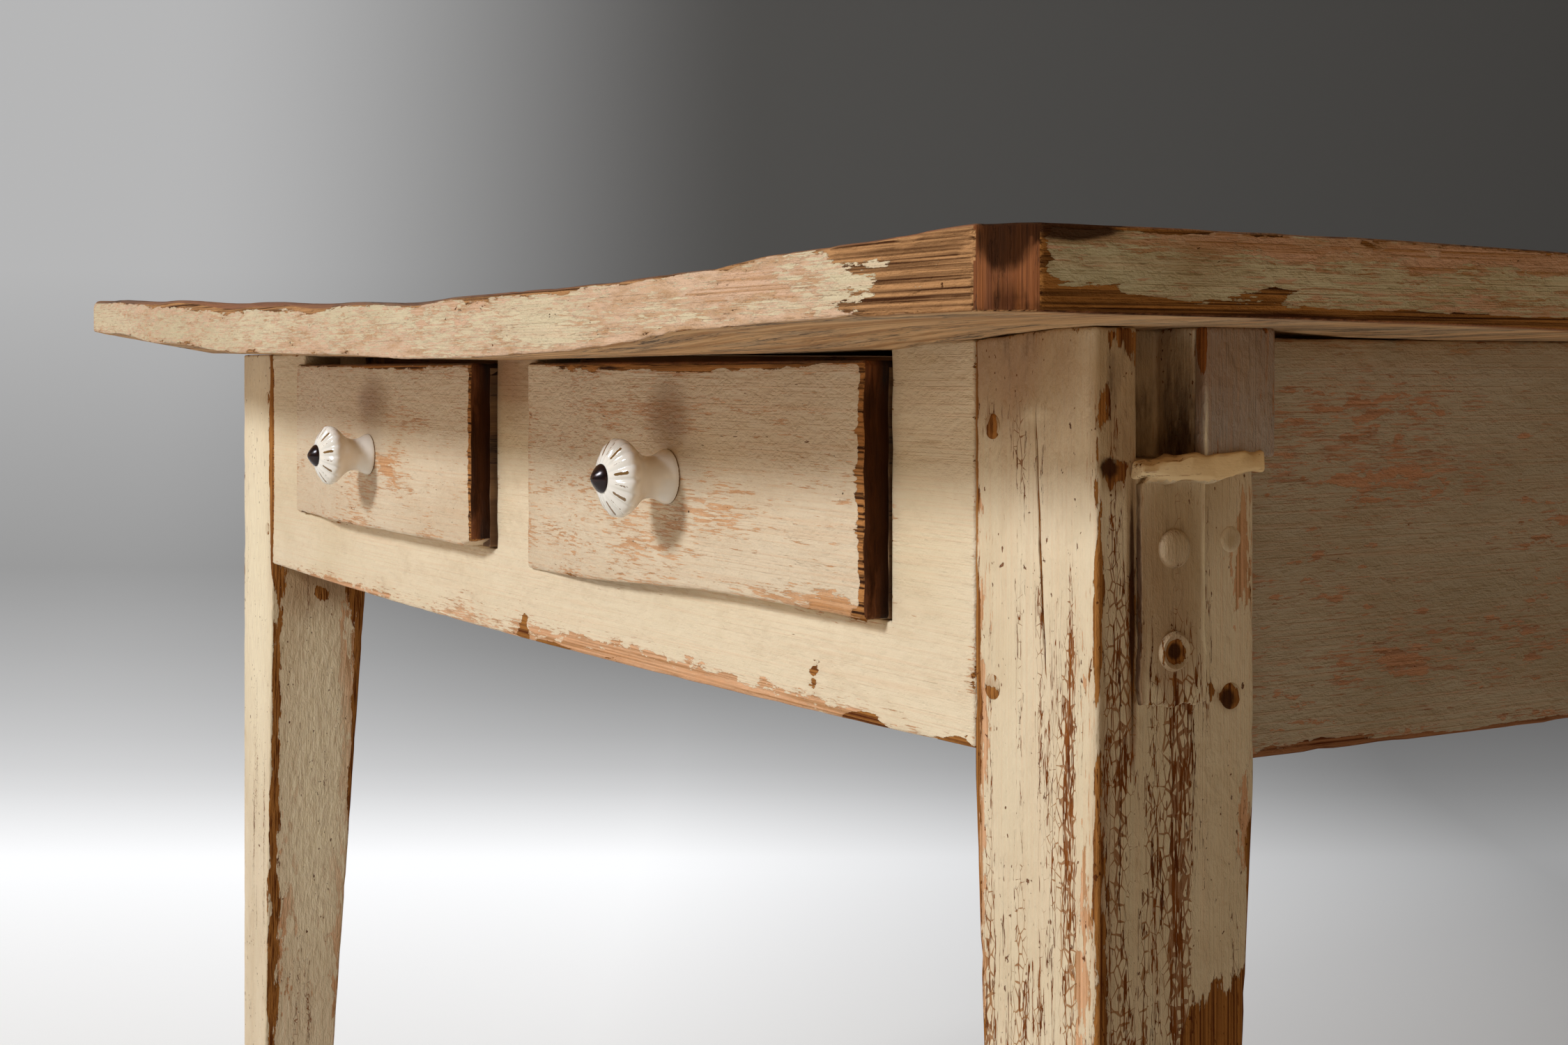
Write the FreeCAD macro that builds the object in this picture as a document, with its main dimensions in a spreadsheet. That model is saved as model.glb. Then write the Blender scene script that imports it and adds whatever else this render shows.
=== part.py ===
"""Country kitchen table: clipped plank top, tapered legs, two drawers with china knobs.

Millimetres, +Z up. The origin is on the floor under the middle of the top. The drawers face -Y.
"""
import FreeCAD, Part
import math
import os
import Sketcher
from FreeCAD import Placement, Rotation, Vector

DRIVING = {
    # overall
    "table_height": 760.0, "frame_length": 1080.0, "frame_depth": 810.0,
    # top: three planks, corners clipped
    "top_thick": 28.0, "middle_plank_width": 340.0, "corner_clip": 15.0,
    "front_overhang": 110.0, "side_overhang": 92.0,
    # legs, square at the aprons and tapered on the two inner faces
    "leg_size": 76.0, "foot_size": 46.0, "taper_drop": 8.0,
    # aprons and their pegged tenons
    "apron_height": 161.0, "front_apron_thick": 28.0, "plain_apron_thick": 26.0,
    "apron_setback": 5.0, "apron_sag": 5.0,
    "tenon_thick": 10.0, "tenon_length": 44.0, "tenon_foot": 10.0,
    "front_tenon_head": 16.0, "side_tenon_head": 52.0, "front_cheek": 9.0, "plain_cheek": 8.0,
    "peg_diameter": 10.0, "peg_length": 34.0, "peg_from_shoulder": 12.0, "peg_proud": 0.6,
    "front_peg_high": 34.0, "side_peg_high": 76.0, "peg_low": 135.0,
    # front apron notches for the drawers, from the left leg to the right leg
    "left_stile": 80.0, "centre_stile": 58.0, "right_stile": 60.0, "opening_height": 117.0,
    # drawer bearers
    "runner_thick": 22.0, "runner_ledge": 25.0, "housing_depth": 8.0,
    "guide_width": 18.0, "guide_height": 36.0,
    # battens under the top and the pegs that hold it down
    "batten_width": 56.0, "batten_thick": 25.0, "batten_gap": 12.0, "batten_end_gap": 6.0,
    "screw_diameter": 5.0, "screw_head": 10.0, "screw_head_deep": 3.3,
    "screw_bite": 16.0,
    "top_peg_diameter": 12.0, "top_peg_depth": 45.0,
    # drawers
    "drawer_side_gap": 2.5, "drawer_top_gap": 8.0, "drawer_foot_gap": 0.6,
    "right_proud": 7.0, "left_proud": 11.0, "drawer_front_thick": 22.0, "drawer_wall": 11.0,
    "drawer_box_drop": 3.0, "drawer_back_gap": 200.0, "lap_depth": 14.0,
    "bottom_thick": 8.0, "bottom_up": 8.0, "groove_depth": 5.0, "front_arris": 3.0,
    "nail_diameter": 3.0, "nail_length": 30.0, "nail_spread": 30.0,
    "stop_length": 30.0, "stop_height": 12.0, "stop_width": 18.0, "stop_gap": 0.5,
    # knobs, measured out from the drawer's face
    "knob_reach": 36.0, "knob_rim": 28.0, "knob_head_radius": 19.5, "knob_neck_radius": 10.2,
    "knob_neck": 11.5, "knob_base_radius": 13.8, "knob_base_thick": 2.5,
    "left_knob_drop": 5.5, "right_knob_drop": 2.0,
    "button_radius": 6.8, "button_dome": 4.0, "bolt_diameter": 5.0,
    "nut_width": 12.0, "nut_thick": 4.0, "bolt_tail": 2.0,
    # slot, block and iron bracket at the head of the front right leg
    "slot_from_front": 19.0, "slot_width": 27.0, "slot_depth": 22.0, "slot_height": 45.0,
    "block_past_leg": 5.0, "block_proud": 6.0,
    "bracket_from_front": 11.0, "bracket_width": 63.0, "bracket_lip": 7.0, "bracket_lip_proud": 8.0,
    "strap_from_front": 18.0, "strap_width": 32.0, "strap_length": 84.0, "strap_thick": 2.4,
    "bracket_screw_high": 26.0, "bracket_screw_pitch": 38.0,
    "bracket_screw_diameter": 4.5, "bracket_screw_length": 30.0,
    "bracket_screw_head": 13.0, "bracket_screw_dome": 3.0,
}


class Size:
    """A length as a number together with the sheet expression that gives it."""

    def __init__(self, value, text):
        self.value = value
        self.text = text

    def join(self, sign, other, value):
        return Size(value, "(%s %s %s)" % (self.text, sign, as_size(other).text))

    def __add__(self, other):
        return self.join("+", other, self.value + as_size(other).value)

    def __sub__(self, other):
        return self.join("-", other, self.value - as_size(other).value)

    def __mul__(self, other):
        return self.join("*", other, self.value * as_size(other).value)

    def __truediv__(self, other):
        return self.join("/", other, self.value / as_size(other).value)

    def __neg__(self):
        return Size(-self.value, "(0 - %s)" % self.text)


def as_size(number):
    """Plain numbers may be mixed with sizes."""
    return number if isinstance(number, Size) else Size(float(number), "%r" % number)


doc = FreeCAD.newDocument("KitchenTable")
sheet = doc.addObject("Spreadsheet::Sheet", "Dims")
for row, (alias, number) in enumerate(DRIVING.items(), start=1):
    sheet.set("A%d" % row, alias)
    sheet.set("B%d" % row, "%g" % number)
    sheet.setAlias("B%d" % row, alias)
doc.recompute()


def size(alias):
    return Size(DRIVING[alias], "Dims.%s" % alias)


def drive(item, prop, length):
    """Bind one property of an object to the sheet."""
    item.setExpression(prop, as_size(length).text)


def put(item, x, y, z):
    """Bind an object's place to the sheet, keeping its rotation."""
    for axis, length in zip("xyz", (x, y, z)):
        drive(item, ".Placement.Base.%s" % axis, length)
    return item


def span(side, near, far):
    """A stretch from near to far out from the middle, on the + or - side of it."""
    return (near, far) if side > 0 else (-as_size(far), -as_size(near))


def block(name, xs, ys, zs):
    """A rectangular piece between pairs of coordinates."""
    item = doc.addObject("Part::Box", name)
    for prop, (low, high) in zip(("Length", "Width", "Height"), (xs, ys, zs)):
        drive(item, prop, as_size(high) - low)
    return put(item, xs[0], ys[0], zs[0])


AXES = {"x": Vector(1, 0, 0), "-x": Vector(-1, 0, 0), "y": Vector(0, 1, 0),
        "-y": Vector(0, -1, 0), "z": Vector(0, 0, 1), "-z": Vector(0, 0, -1)}


def rod(name, diameter, length, start, way):
    """A round bar from a start point along one of the axes."""
    item = doc.addObject("Part::Cylinder", name)
    item.Placement = Placement(Vector(), Rotation(Vector(0, 0, 1), AXES[way]))
    drive(item, "Radius", as_size(diameter) / 2)
    drive(item, "Height", length)
    return put(item, *start)


DOME_FLAT = 0.55
THROAT_ROUND = 1.25
CROWN_ROUND = 1.9
CROWN_RIM = 1.5


def dome(name, radius, height, start, way):
    """A low round head: a cone frustum capped flat, standing on a start point."""
    item = doc.addObject("Part::Cone", name)
    item.Placement = Placement(Vector(), Rotation(Vector(0, 0, 1), AXES[way]))
    drive(item, "Radius1", radius)
    drive(item, "Radius2", as_size(radius) * DOME_FLAT)
    drive(item, "Height", height)
    return put(item, *start)


def join(name, items):
    item = doc.addObject("Part::MultiFuse", name)
    item.Shapes = items
    return item


def cut(name, base, tools):
    item = doc.addObject("Part::Cut", name)
    item.Base = base
    item.Tool = tools[0] if len(tools) == 1 else join(name + "_tools", tools)
    return item


def common(name, first, second):
    item = doc.addObject("Part::Common", name)
    item.Base = first
    item.Tool = second
    return item


def sketch_on(body, role, name):
    """A sketch lying on one of its own body's origin planes."""
    plane = [p for p in body.Origin.OriginFeatures if p.Role == role][0]
    sketch = body.newObject("Sketcher::SketchObject", name)
    sketch.AttachmentSupport = (plane, "")
    sketch.MapMode = "FlatFace"
    return sketch


def pin(sketch, geo, point, x, y):
    """Hold one sketch point at a place given by two sizes."""
    for kind, tag, length in (("DistanceX", "x", as_size(x)), ("DistanceY", "y", as_size(y))):
        label = "%s%d_%d" % (tag, geo, point)
        index = sketch.addConstraint(Sketcher.Constraint(kind, -1, 1, geo, point, length.value))
        sketch.renameConstraint(index, label)
        drive(sketch, "Constraints.%s" % label, length)


def arc_between(start, end, radius, turn):
    """The arc from start to end; turn is +1 to bulge to the right of the way there."""
    chord = end - start
    across = Vector(chord.y, -chord.x, 0).normalize() * turn
    centre = (start + end) * 0.5 - across * (radius ** 2 - (chord.Length / 2) ** 2) ** 0.5
    first, last = (start, end) if turn > 0 else (end, start)
    angles = [math.atan2(p.y - centre.y, p.x - centre.x) for p in (first, last)]
    return Part.ArcOfCircle(Part.Circle(centre, Vector(0, 0, 1), radius), *angles)


def outline(sketch, corners):
    """A closed outline. Each corner is (x, y) or (x, y, radius, turn) for an arc to the next."""
    places = [Vector(as_size(c[0]).value, as_size(c[1]).value, 0) for c in corners]
    for i, corner in enumerate(corners):
        start, end = places[i], places[(i + 1) % len(corners)]
        if len(corner) == 2:
            sketch.addGeometry(Part.LineSegment(start, end), False)
            first = 1
        else:
            sketch.addGeometry(arc_between(start, end, corner[2].value, corner[3]), False)
            first = 1 if corner[3] > 0 else 2
            index = sketch.addConstraint(Sketcher.Constraint("Radius", i, corner[2].value))
            sketch.renameConstraint(index, "r%d" % i)
            drive(sketch, "Constraints.r%d" % i, corner[2])
        pin(sketch, i, first, corner[0], corner[1])
        after = corners[(i + 1) % len(corners)]
        pin(sketch, i, 3 - first, after[0], after[1])


def board(name, role, corners, depth, x=0, y=0, z=0, reverse=False):
    """A flat board: an outline on one of the origin planes, padded to its thickness."""
    body = doc.addObject("PartDesign::Body", name)
    sketch = sketch_on(body, role, name + "_outline")
    outline(sketch, corners)
    pad = body.newObject("PartDesign::Pad", name + "_pad")
    pad.Profile = sketch
    pad.Reversed = reverse
    drive(pad, "Length", depth)
    return put(body, x, y, z)


def turned(name, profile, place, rotation):
    """A turned piece: a half outline on the XZ plane revolved about its Z axis."""
    body = doc.addObject("PartDesign::Body", name)
    sketch = sketch_on(body, "XZ_Plane", name + "_half")
    outline(sketch, profile)
    turn = body.newObject("PartDesign::Revolution", name + "_turn")
    turn.Profile = sketch
    turn.ReferenceAxis = (sketch, ["V_Axis"])
    turn.Angle = 360
    body.Placement = Placement(Vector(), rotation)
    return put(body, *place)


# ---- shared places --------------------------------------------------------------------------

half_length = size("frame_length") / 2
half_depth = size("frame_depth") / 2
underside = size("table_height") - size("top_thick")
apron_foot = underside - size("apron_height")
leg_size = size("leg_size")
inner_x = half_length - leg_size
inner_y = half_depth - leg_size
front_back = -half_depth + size("front_apron_thick")
back_front = half_depth - size("apron_setback") - size("plain_apron_thick")
sill = underside - size("opening_height")
opening_width = (inner_x * 2 - size("left_stile") - size("centre_stile") - size("right_stile")) / 2
left_opening = (-inner_x + size("left_stile"), -inner_x + size("left_stile") + opening_width)
right_opening = (inner_x - size("right_stile") - opening_width, inner_x - size("right_stile"))
SIDES = (("left", -1), ("right", 1))
ENDS = (("front", -1), ("back", 1))
parts = {}


def keep(label, item):
    """Give a finished piece its label and put it on the list."""
    item.Label = label
    parts[label] = item
    return item


# ---- top ------------------------------------------------------------------------------------

reach_x = half_length + size("side_overhang")
reach_y = half_depth + size("front_overhang")


def top_outline():
    """Counter-clockwise outline of the whole top, a rectangle with clipped corners."""
    clip_x = reach_x - size("corner_clip")
    clip_y = reach_y - size("corner_clip")
    return [(reach_x, -clip_y), (reach_x, clip_y), (clip_x, reach_y), (-clip_x, reach_y),
            (-reach_x, clip_y), (-reach_x, -clip_y), (-clip_x, -reach_y), (clip_x, -reach_y)]


whole_top = board("whole_top", "XY_Plane", top_outline(), size("top_thick"), z=underside)
plank_edge = size("middle_plank_width") / 2
PLANKS = (("front", -reach_y, -plank_edge), ("middle", -plank_edge, plank_edge),
          ("back", plank_edge, reach_y))
peg_in = leg_size / 2
top_pegs = [rod("top_peg_%s_%s" % (end, side), size("top_peg_diameter"),
                size("top_thick") + size("top_peg_depth"),
                ((half_length - peg_in) * sx, (half_depth - peg_in) * sy,
                 size("table_height")), "-z")
            for side, sx in SIDES for end, sy in ENDS]

# ---- battens under the top --------------------------------------------------------------------

guide_face = (right_opening[1] + size("guide_width"), left_opening[0] - size("guide_width"))
apron_inner_x = half_length - size("apron_setback") - size("plain_apron_thick")
batten_ys = (-inner_y + size("batten_end_gap"), inner_y - size("batten_end_gap"))
batten_zs = (underside - size("batten_thick"), underside)


def batten_xs(sx):
    return span(sx, apron_inner_x - size("batten_gap") - size("batten_width"),
                apron_inner_x - size("batten_gap"))


def batten_screws():
    """Three countersunk screws up through each batten, one into each plank."""
    reach = size("batten_thick") + size("screw_bite")
    screws = []
    for side, sx in SIDES:
        low, high = batten_xs(sx)
        for spot, y in (("front", -(plank_edge + batten_ys[1]) / 2), ("middle", as_size(0)),
                        ("back", (plank_edge + batten_ys[1]) / 2)):
            start = ((low + high) / 2, y, batten_zs[0])
            name = "batten_screw_%s_%s" % (side, spot)
            shank = rod(name + "_shank", size("screw_diameter"), reach, start, "z")
            head = dome(name + "_head", size("screw_head") / 2, size("screw_head_deep"), start, "z")
            screws.append(join(name, [shank, head]))
    return screws


screws = batten_screws()
keep("batten_screws", join("batten_screw_set", screws))
for side, sx in SIDES:
    blank = block("batten_blank_" + side, batten_xs(sx), batten_ys, batten_zs)
    keep("top_batten_" + side, cut("top_batten_%s_bored" % side, blank, screws))
for place, low, high in PLANKS:
    strip = block("plank_strip_" + place, (-reach_x, reach_x), (low, high),
                  (underside, size("table_height")))
    plank = common("plank_shape_" + place, whole_top, strip)
    keep("top_%s_plank" % place, cut("plank_bored_" + place, plank, top_pegs + screws))
keep("top_pegs", join("top_peg_set", top_pegs))

# ---- legs, aprons and their pegs --------------------------------------------------------------

mortise_x = (inner_x, inner_x + size("tenon_length"))
mortise_y = (inner_y, inner_y + size("tenon_length"))
side_tenon_zs = (apron_foot + size("tenon_foot"), underside - size("side_tenon_head"))
front_tenon_zs = (apron_foot + size("tenon_foot"), underside - size("front_tenon_head"))
side_tenon_far = half_length - size("apron_setback") - size("plain_cheek")


def cheek(end):
    """How deep a long apron's tenon lies behind the leg's face."""
    plain = size("apron_setback") + size("plain_cheek")
    return size("front_cheek") if end == "front" else plain


def long_tenon(name, end, sx, sy):
    """Tenon of the front or back apron in one leg."""
    far = half_depth - cheek(end)
    return block(name, span(sx, *mortise_x), span(sy, far - size("tenon_thick"), far),
                 front_tenon_zs)


def side_tenon(name, sx, sy):
    return block(name, span(sx, side_tenon_far - size("tenon_thick"), side_tenon_far),
                 span(sy, *mortise_y), side_tenon_zs)


def drawbore(name, sx, sy, along):
    """The two pegs that hold one tenon, driven in from the leg's outer face."""
    proud = size("peg_proud")
    inward = size("peg_from_shoulder")
    pegs = []
    for which in ("high", "low"):
        if along == "y":
            z = underside - size("front_peg_high" if which == "high" else "peg_low")
            start = ((inner_x + inward) * sx, (half_depth + proud) * sy, z)
            way = "-y" if sy > 0 else "y"
        else:
            z = underside - size("side_peg_high" if which == "high" else "peg_low")
            start = ((half_length + proud) * sx, (inner_y + inward) * sy, z)
            way = "-x" if sx > 0 else "x"
        pegs.append(rod("%s_%s" % (name, which), size("peg_diameter"),
                        size("peg_length") + proud, start, way))
    return pegs


def tapered(name, sx, sy):
    """The lower leg: square under the apron, drawn in on the two inner faces to the foot."""
    item = doc.addObject("Part::Wedge", name)
    item.Placement = Placement(Vector(), Rotation(Vector(1, 0, 0), 90))
    foot_x = span(sx, half_length - size("foot_size"), half_length)
    foot_y = span(sy, half_depth - size("foot_size"), half_depth)
    head_x = span(sx, inner_x, half_length)
    head_y = span(sy, inner_y, half_depth)
    limits = {"Xmin": foot_x[0], "Xmax": foot_x[1], "Zmin": -as_size(foot_y[1]),
              "Zmax": -as_size(foot_y[0]), "X2min": head_x[0], "X2max": head_x[1],
              "Z2min": -as_size(head_y[1]), "Z2max": -as_size(head_y[0]),
              "Ymin": as_size(0), "Ymax": apron_foot - size("taper_drop")}
    for prop, length in limits.items():
        drive(item, prop, length)
    return item


slot_ys = (-half_depth + size("slot_from_front"),
           -half_depth + size("slot_from_front") + size("slot_width"))
slot_zs = (underside - size("slot_height"), underside)
strap_zs = (slot_zs[0] - size("bracket_lip") - size("strap_length"),
            slot_zs[0] - size("bracket_lip"))


def bracket_screws():
    """Round-headed screws through the iron strap into the leg, one below the other."""
    screws = []
    y = -half_depth + size("strap_from_front") + size("strap_width") / 2
    for i, name in enumerate(("bracket_screw_upper", "bracket_screw_lower")):
        z = strap_zs[1] - size("bracket_screw_high") - size("bracket_screw_pitch") * i
        face = half_length + size("strap_thick")
        shank = rod(name + "_shank", size("bracket_screw_diameter"),
                    size("bracket_screw_length"), (face, y, z), "-x")
        head = dome(name + "_head", size("bracket_screw_head") / 2, size("bracket_screw_dome"),
                    (face, y, z), "x")
        screws.append(join(name, [shank, head]))
    return screws


strap_screws = bracket_screws()
keep("bracket_screws", join("bracket_screw_set", strap_screws))
drawbores = {}
tenons = {}
for end, sy in ENDS:
    for side, sx in SIDES:
        corner = "%s_%s" % (end, side)
        tenons["long", corner] = long_tenon("long_tenon_" + corner, end, sx, sy)
        tenons["side", corner] = side_tenon("side_tenon_" + corner, sx, sy)
        drawbores["long", corner] = drawbore("long_peg_" + corner, sx, sy, "y")
        drawbores["side", corner] = drawbore("side_peg_" + corner, sx, sy, "x")
        square = block("leg_square_" + corner, span(sx, inner_x, half_length),
                       span(sy, inner_y, half_depth), (apron_foot - size("taper_drop"), underside))
        blank = join("leg_blank_" + corner, [square, tapered("leg_taper_" + corner, sx, sy)])
        tools = [tenons["long", corner], tenons["side", corner]]
        tools += drawbores["long", corner] + drawbores["side", corner] + top_pegs
        if corner == "front_right":
            slot = block("leg_slot", (half_length - size("slot_depth"), half_length),
                         slot_ys, slot_zs)
            tools += [slot] + strap_screws
        keep("leg_" + corner, cut("leg_cut_" + corner, blank, tools))
CORNERS = ["%s_%s" % (end, side) for end, _ in ENDS for side, _ in SIDES]
keep("front_pegs", join("front_peg_set", [p for c in CORNERS[:2] for p in drawbores["long", c]]))
keep("back_pegs", join("back_peg_set", [p for c in CORNERS[2:] for p in drawbores["long", c]]))
keep("side_pegs", join("side_peg_set", [p for c in CORNERS for p in drawbores["side", c]]))

# ---- bearers for the drawers -------------------------------------------------------------------

runner_ys = (front_back - size("housing_depth"), back_front + size("housing_depth"))
runner_zs = (sill - size("runner_thick"), sill)
ledge = size("runner_ledge")
RUNNERS = (("left", left_opening[0] - ledge, left_opening[0] + ledge),
           ("centre", left_opening[1] - ledge, right_opening[0] + ledge),
           ("right", right_opening[1] - ledge, right_opening[1] + ledge))
runners = [keep("runner_" + place, block("runner_bar_" + place, (low, high), runner_ys, runner_zs))
           for place, low, high in RUNNERS]
GUIDES = (("left", guide_face[1], left_opening[0]), ("centre", left_opening[1], right_opening[0]),
          ("right", right_opening[1], guide_face[0]))
for place, low, high in GUIDES:
    keep("guide_" + place, block("guide_bar_" + place, (low, high), (front_back, back_front),
                                 (sill, sill + size("guide_height"))))

# ---- aprons -------------------------------------------------------------------------------------

sag = size("apron_sag")
sag_radius = (inner_x * inner_x + sag * sag) / (sag * 2)
foot_local = -size("apron_height")
sill_local = -size("opening_height")
front_profile = [
    (-inner_x, foot_local, sag_radius, 1), (inner_x, foot_local), (inner_x, as_size(0)),
    (right_opening[1], as_size(0)), (right_opening[1], sill_local), (right_opening[0], sill_local),
    (right_opening[0], as_size(0)), (left_opening[1], as_size(0)), (left_opening[1], sill_local),
    (left_opening[0], sill_local), (left_opening[0], as_size(0)), (-inner_x, as_size(0))]
front_board = board("front_apron_board", "XZ_Plane", front_profile, size("front_apron_thick"),
                    y=-half_depth, z=underside, reverse=True)
front_blank = join("front_apron_blank", [front_board, tenons["long", "front_left"],
                                         tenons["long", "front_right"]])
keep("front_apron", cut("front_apron_cut", front_blank, runners
                        + drawbores["long", "front_left"] + drawbores["long", "front_right"]))
back_board = block("back_apron_board", (-inner_x, inner_x),
                   (back_front, back_front + size("plain_apron_thick")), (apron_foot, underside))
back_blank = join("back_apron_blank", [back_board, tenons["long", "back_left"],
                                       tenons["long", "back_right"]])
keep("back_apron", cut("back_apron_cut", back_blank, runners
                       + drawbores["long", "back_left"] + drawbores["long", "back_right"]))
for side, sx in SIDES:
    plank = block("side_apron_board_" + side,
                  span(sx, apron_inner_x, apron_inner_x + size("plain_apron_thick")),
                  (-inner_y, inner_y), (apron_foot, underside))
    blank = join("side_apron_blank_" + side, [plank, tenons["side", "front_" + side],
                                              tenons["side", "back_" + side]])
    holes = drawbores["side", "front_" + side] + drawbores["side", "back_" + side]
    if side == "right":
        holes = holes + strap_screws
    keep("side_apron_" + side, cut("side_apron_cut_" + side, blank, holes))

# ---- block and iron bracket at the front right leg ------------------------------------------------

block_ys = (slot_ys[1], -inner_y + size("block_past_leg"))
face_block = block("corner_block_face", (half_length, half_length + size("block_proud")),
                   block_ys, slot_zs)
packing = block("corner_block_packing", (half_length - size("apron_setback"), half_length),
                (-inner_y, block_ys[1]), slot_zs)
keep("corner_block", join("corner_block_whole", [face_block, packing]))
lip_ys = (-half_depth + size("bracket_from_front"),
          -half_depth + size("bracket_from_front") + size("bracket_width"))
lip = block("bracket_lip_bar", (half_length, half_length + size("bracket_lip_proud")), lip_ys,
            (strap_zs[1], slot_zs[0]))
strap_ys = (-half_depth + size("strap_from_front"),
            -half_depth + size("strap_from_front") + size("strap_width"))
strap = block("bracket_strap", (half_length, half_length + size("strap_thick")), strap_ys, strap_zs)
keep("side_bracket", cut("side_bracket_bored", join("side_bracket_blank", [lip, strap]),
                         strap_screws))

# ---- drawers --------------------------------------------------------------------------------------


def knob_profile():
    """Half outline of a china knob, base at zero height, bored for its bolt."""
    bore = size("bolt_diameter") / 2
    base, neck, head = size("knob_base_radius"), size("knob_neck_radius"), size("knob_head_radius")
    throat = (size("knob_rim") - size("knob_neck")) * THROAT_ROUND
    return [(bore, as_size(0)), (base, as_size(0)), (base, size("knob_base_thick")),
            (neck, size("knob_neck"), throat, -1), (head, size("knob_rim")),
            (head, size("knob_rim") + CROWN_RIM, head * CROWN_ROUND, 1),
            (size("button_radius"), size("knob_reach")), (bore, size("knob_reach"))]


def knob_set(side, x, face, z):
    """China knob, its bolt with a domed dark head, and the square nut inside the drawer."""
    towards = Rotation(Vector(0, 0, 1), Vector(0, -1, 0))
    keep(side + "_knob", turned(side + "_knob_body", knob_profile(), (x, face, z), towards))
    inside = face + size("drawer_front_thick")
    tail = inside + size("nut_thick") + size("bolt_tail")
    shank = rod(side + "_bolt_shank", size("bolt_diameter"), tail - face + size("knob_reach"),
                (x, tail, z), "-y")
    head = dome(side + "_bolt_head", size("button_radius"), size("button_dome"),
                (x, face - size("knob_reach"), z), "-y")
    bolt = keep(side + "_knob_bolt", join(side + "_bolt", [shank, head]))
    half_nut = size("nut_width") / 2
    nut = block(side + "_nut_blank", (x - half_nut, x + half_nut),
                (inside, inside + size("nut_thick")), (z - half_nut, z + half_nut))
    keep(side + "_knob_nut", cut(side + "_nut", nut, [shank]))
    return bolt


def drawer(side, opening, proud):
    """One drawer: lapped front, two sides, back, bottom in grooves, nails and knob."""
    xs = (opening[0] + size("drawer_side_gap"), opening[1] - size("drawer_side_gap"))
    face = -half_depth - proud
    inside = face + size("drawer_front_thick")
    rear = back_front - size("drawer_back_gap") - proud
    foot = sill + size("drawer_foot_gap")
    head = underside - size("drawer_top_gap")
    box_head = head - size("drawer_box_drop")
    wall = size("drawer_wall")
    lap = inside - size("lap_depth")
    middle = (xs[0] + xs[1]) / 2
    knob_z = (foot + head) / 2 - size(side + "_knob_drop")
    bottom = block(side + "_bottom_panel",
                   (xs[0] + wall - size("groove_depth"), xs[1] - wall + size("groove_depth")),
                   (inside - size("groove_depth"), rear),
                   (foot + size("bottom_up"), foot + size("bottom_up") + size("bottom_thick")))
    keep(side + "_drawer_bottom", bottom)
    left_wall, right_wall = (xs[0], xs[0] + wall), (xs[1] - wall, xs[1])
    outer, inner = (left_wall, right_wall) if side == "left" else (right_wall, left_wall)
    walls = {"outer": outer, "inner": inner}
    blanks = {which: block("%s_side_blank_%s" % (side, which), ends, (lap, rear), (foot, box_head))
              for which, ends in walls.items()}
    nails = []
    reach = size("nail_length")
    for which, ends in walls.items():
        start_x, way = (ends[0], "x") if ends is left_wall else (ends[1], "-x")
        for spot, y in (("front", inside - size("lap_depth") / 2), ("back", rear - wall / 2)):
            for level, rise in (("low", -1), ("high", 1)):
                z = (foot + box_head) / 2 + size("nail_spread") * rise
                nails.append(rod("%s_nail_%s_%s_%s" % (side, which, spot, level),
                                 size("nail_diameter"), reach, (start_x, y, z), way))
    keep(side + "_drawer_nails", join(side + "_nail_set", nails))
    bolt = knob_set(side, middle, face, knob_z)
    slab = block(side + "_front_slab", xs, (face, inside), (foot, head))
    rounded = doc.addObject("Part::Fillet", side + "_front_rounded")
    rounded.Base = slab
    doc.recompute()
    arris = DRIVING["front_arris"]
    rounded.Edges = [(i, arris, arris) for i, edge in enumerate(slab.Shape.Edges, start=1)
                     if abs(edge.BoundBox.YMax - face.value) < 0.01]
    keep(side + "_drawer_front", cut(side + "_front_cut", rounded,
                                     list(blanks.values()) + [bottom, bolt] + nails))
    for which, blank in blanks.items():
        keep("%s_drawer_%s_side" % (side, which),
             cut("%s_side_cut_%s" % (side, which), blank, [bottom] + nails))
    back = block(side + "_back_blank", (xs[0] + wall, xs[1] - wall), (rear - wall, rear),
                 (foot + size("bottom_up") + size("bottom_thick"), box_head))
    keep(side + "_drawer_back", cut(side + "_back_cut", back, nails))
    stop_ys = (rear + size("stop_gap"), rear + size("stop_gap") + size("stop_length"))
    stop_zs = (sill, sill + size("stop_height"))
    return [block(side + "_stop_left", (xs[0], xs[0] + size("stop_width")), stop_ys, stop_zs),
            block(side + "_stop_right", (xs[1] - size("stop_width"), xs[1]), stop_ys, stop_zs)]


stops = drawer("left", left_opening, size("left_proud"))
stops += drawer("right", right_opening, size("right_proud"))
keep("drawer_stops", join("drawer_stop_set", stops))

# ---- check and write ------------------------------------------------------------------------------

doc.recompute()
for item in doc.Objects:
    if "Invalid" in item.State or "Error" in item.State:
        raise RuntimeError("%s did not compute: %s" % (item.Label, item.State))
os.makedirs("parts", exist_ok=True)
for label, item in parts.items():
    shape = item.Shape
    if shape.isNull() or not shape.isValid() or not shape.Solids:
        raise RuntimeError("%s has no valid solid" % label)
    shape.exportStep("parts/%s.step" % label)
    box = shape.BoundBox
    print("%-26s solids %2d volume %11.1f  x %7.1f %7.1f  y %7.1f %7.1f  z %6.1f %6.1f" % (
        label, len(shape.Solids), shape.Volume, box.XMin, box.XMax, box.YMin, box.YMax,
        box.ZMin, box.ZMax))
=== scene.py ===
"""Looks for the painted country kitchen table: worn oil paint on pine, china knobs, iron bracket."""
import math

import bmesh
import bpy
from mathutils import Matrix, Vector, kdtree, noise


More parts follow.
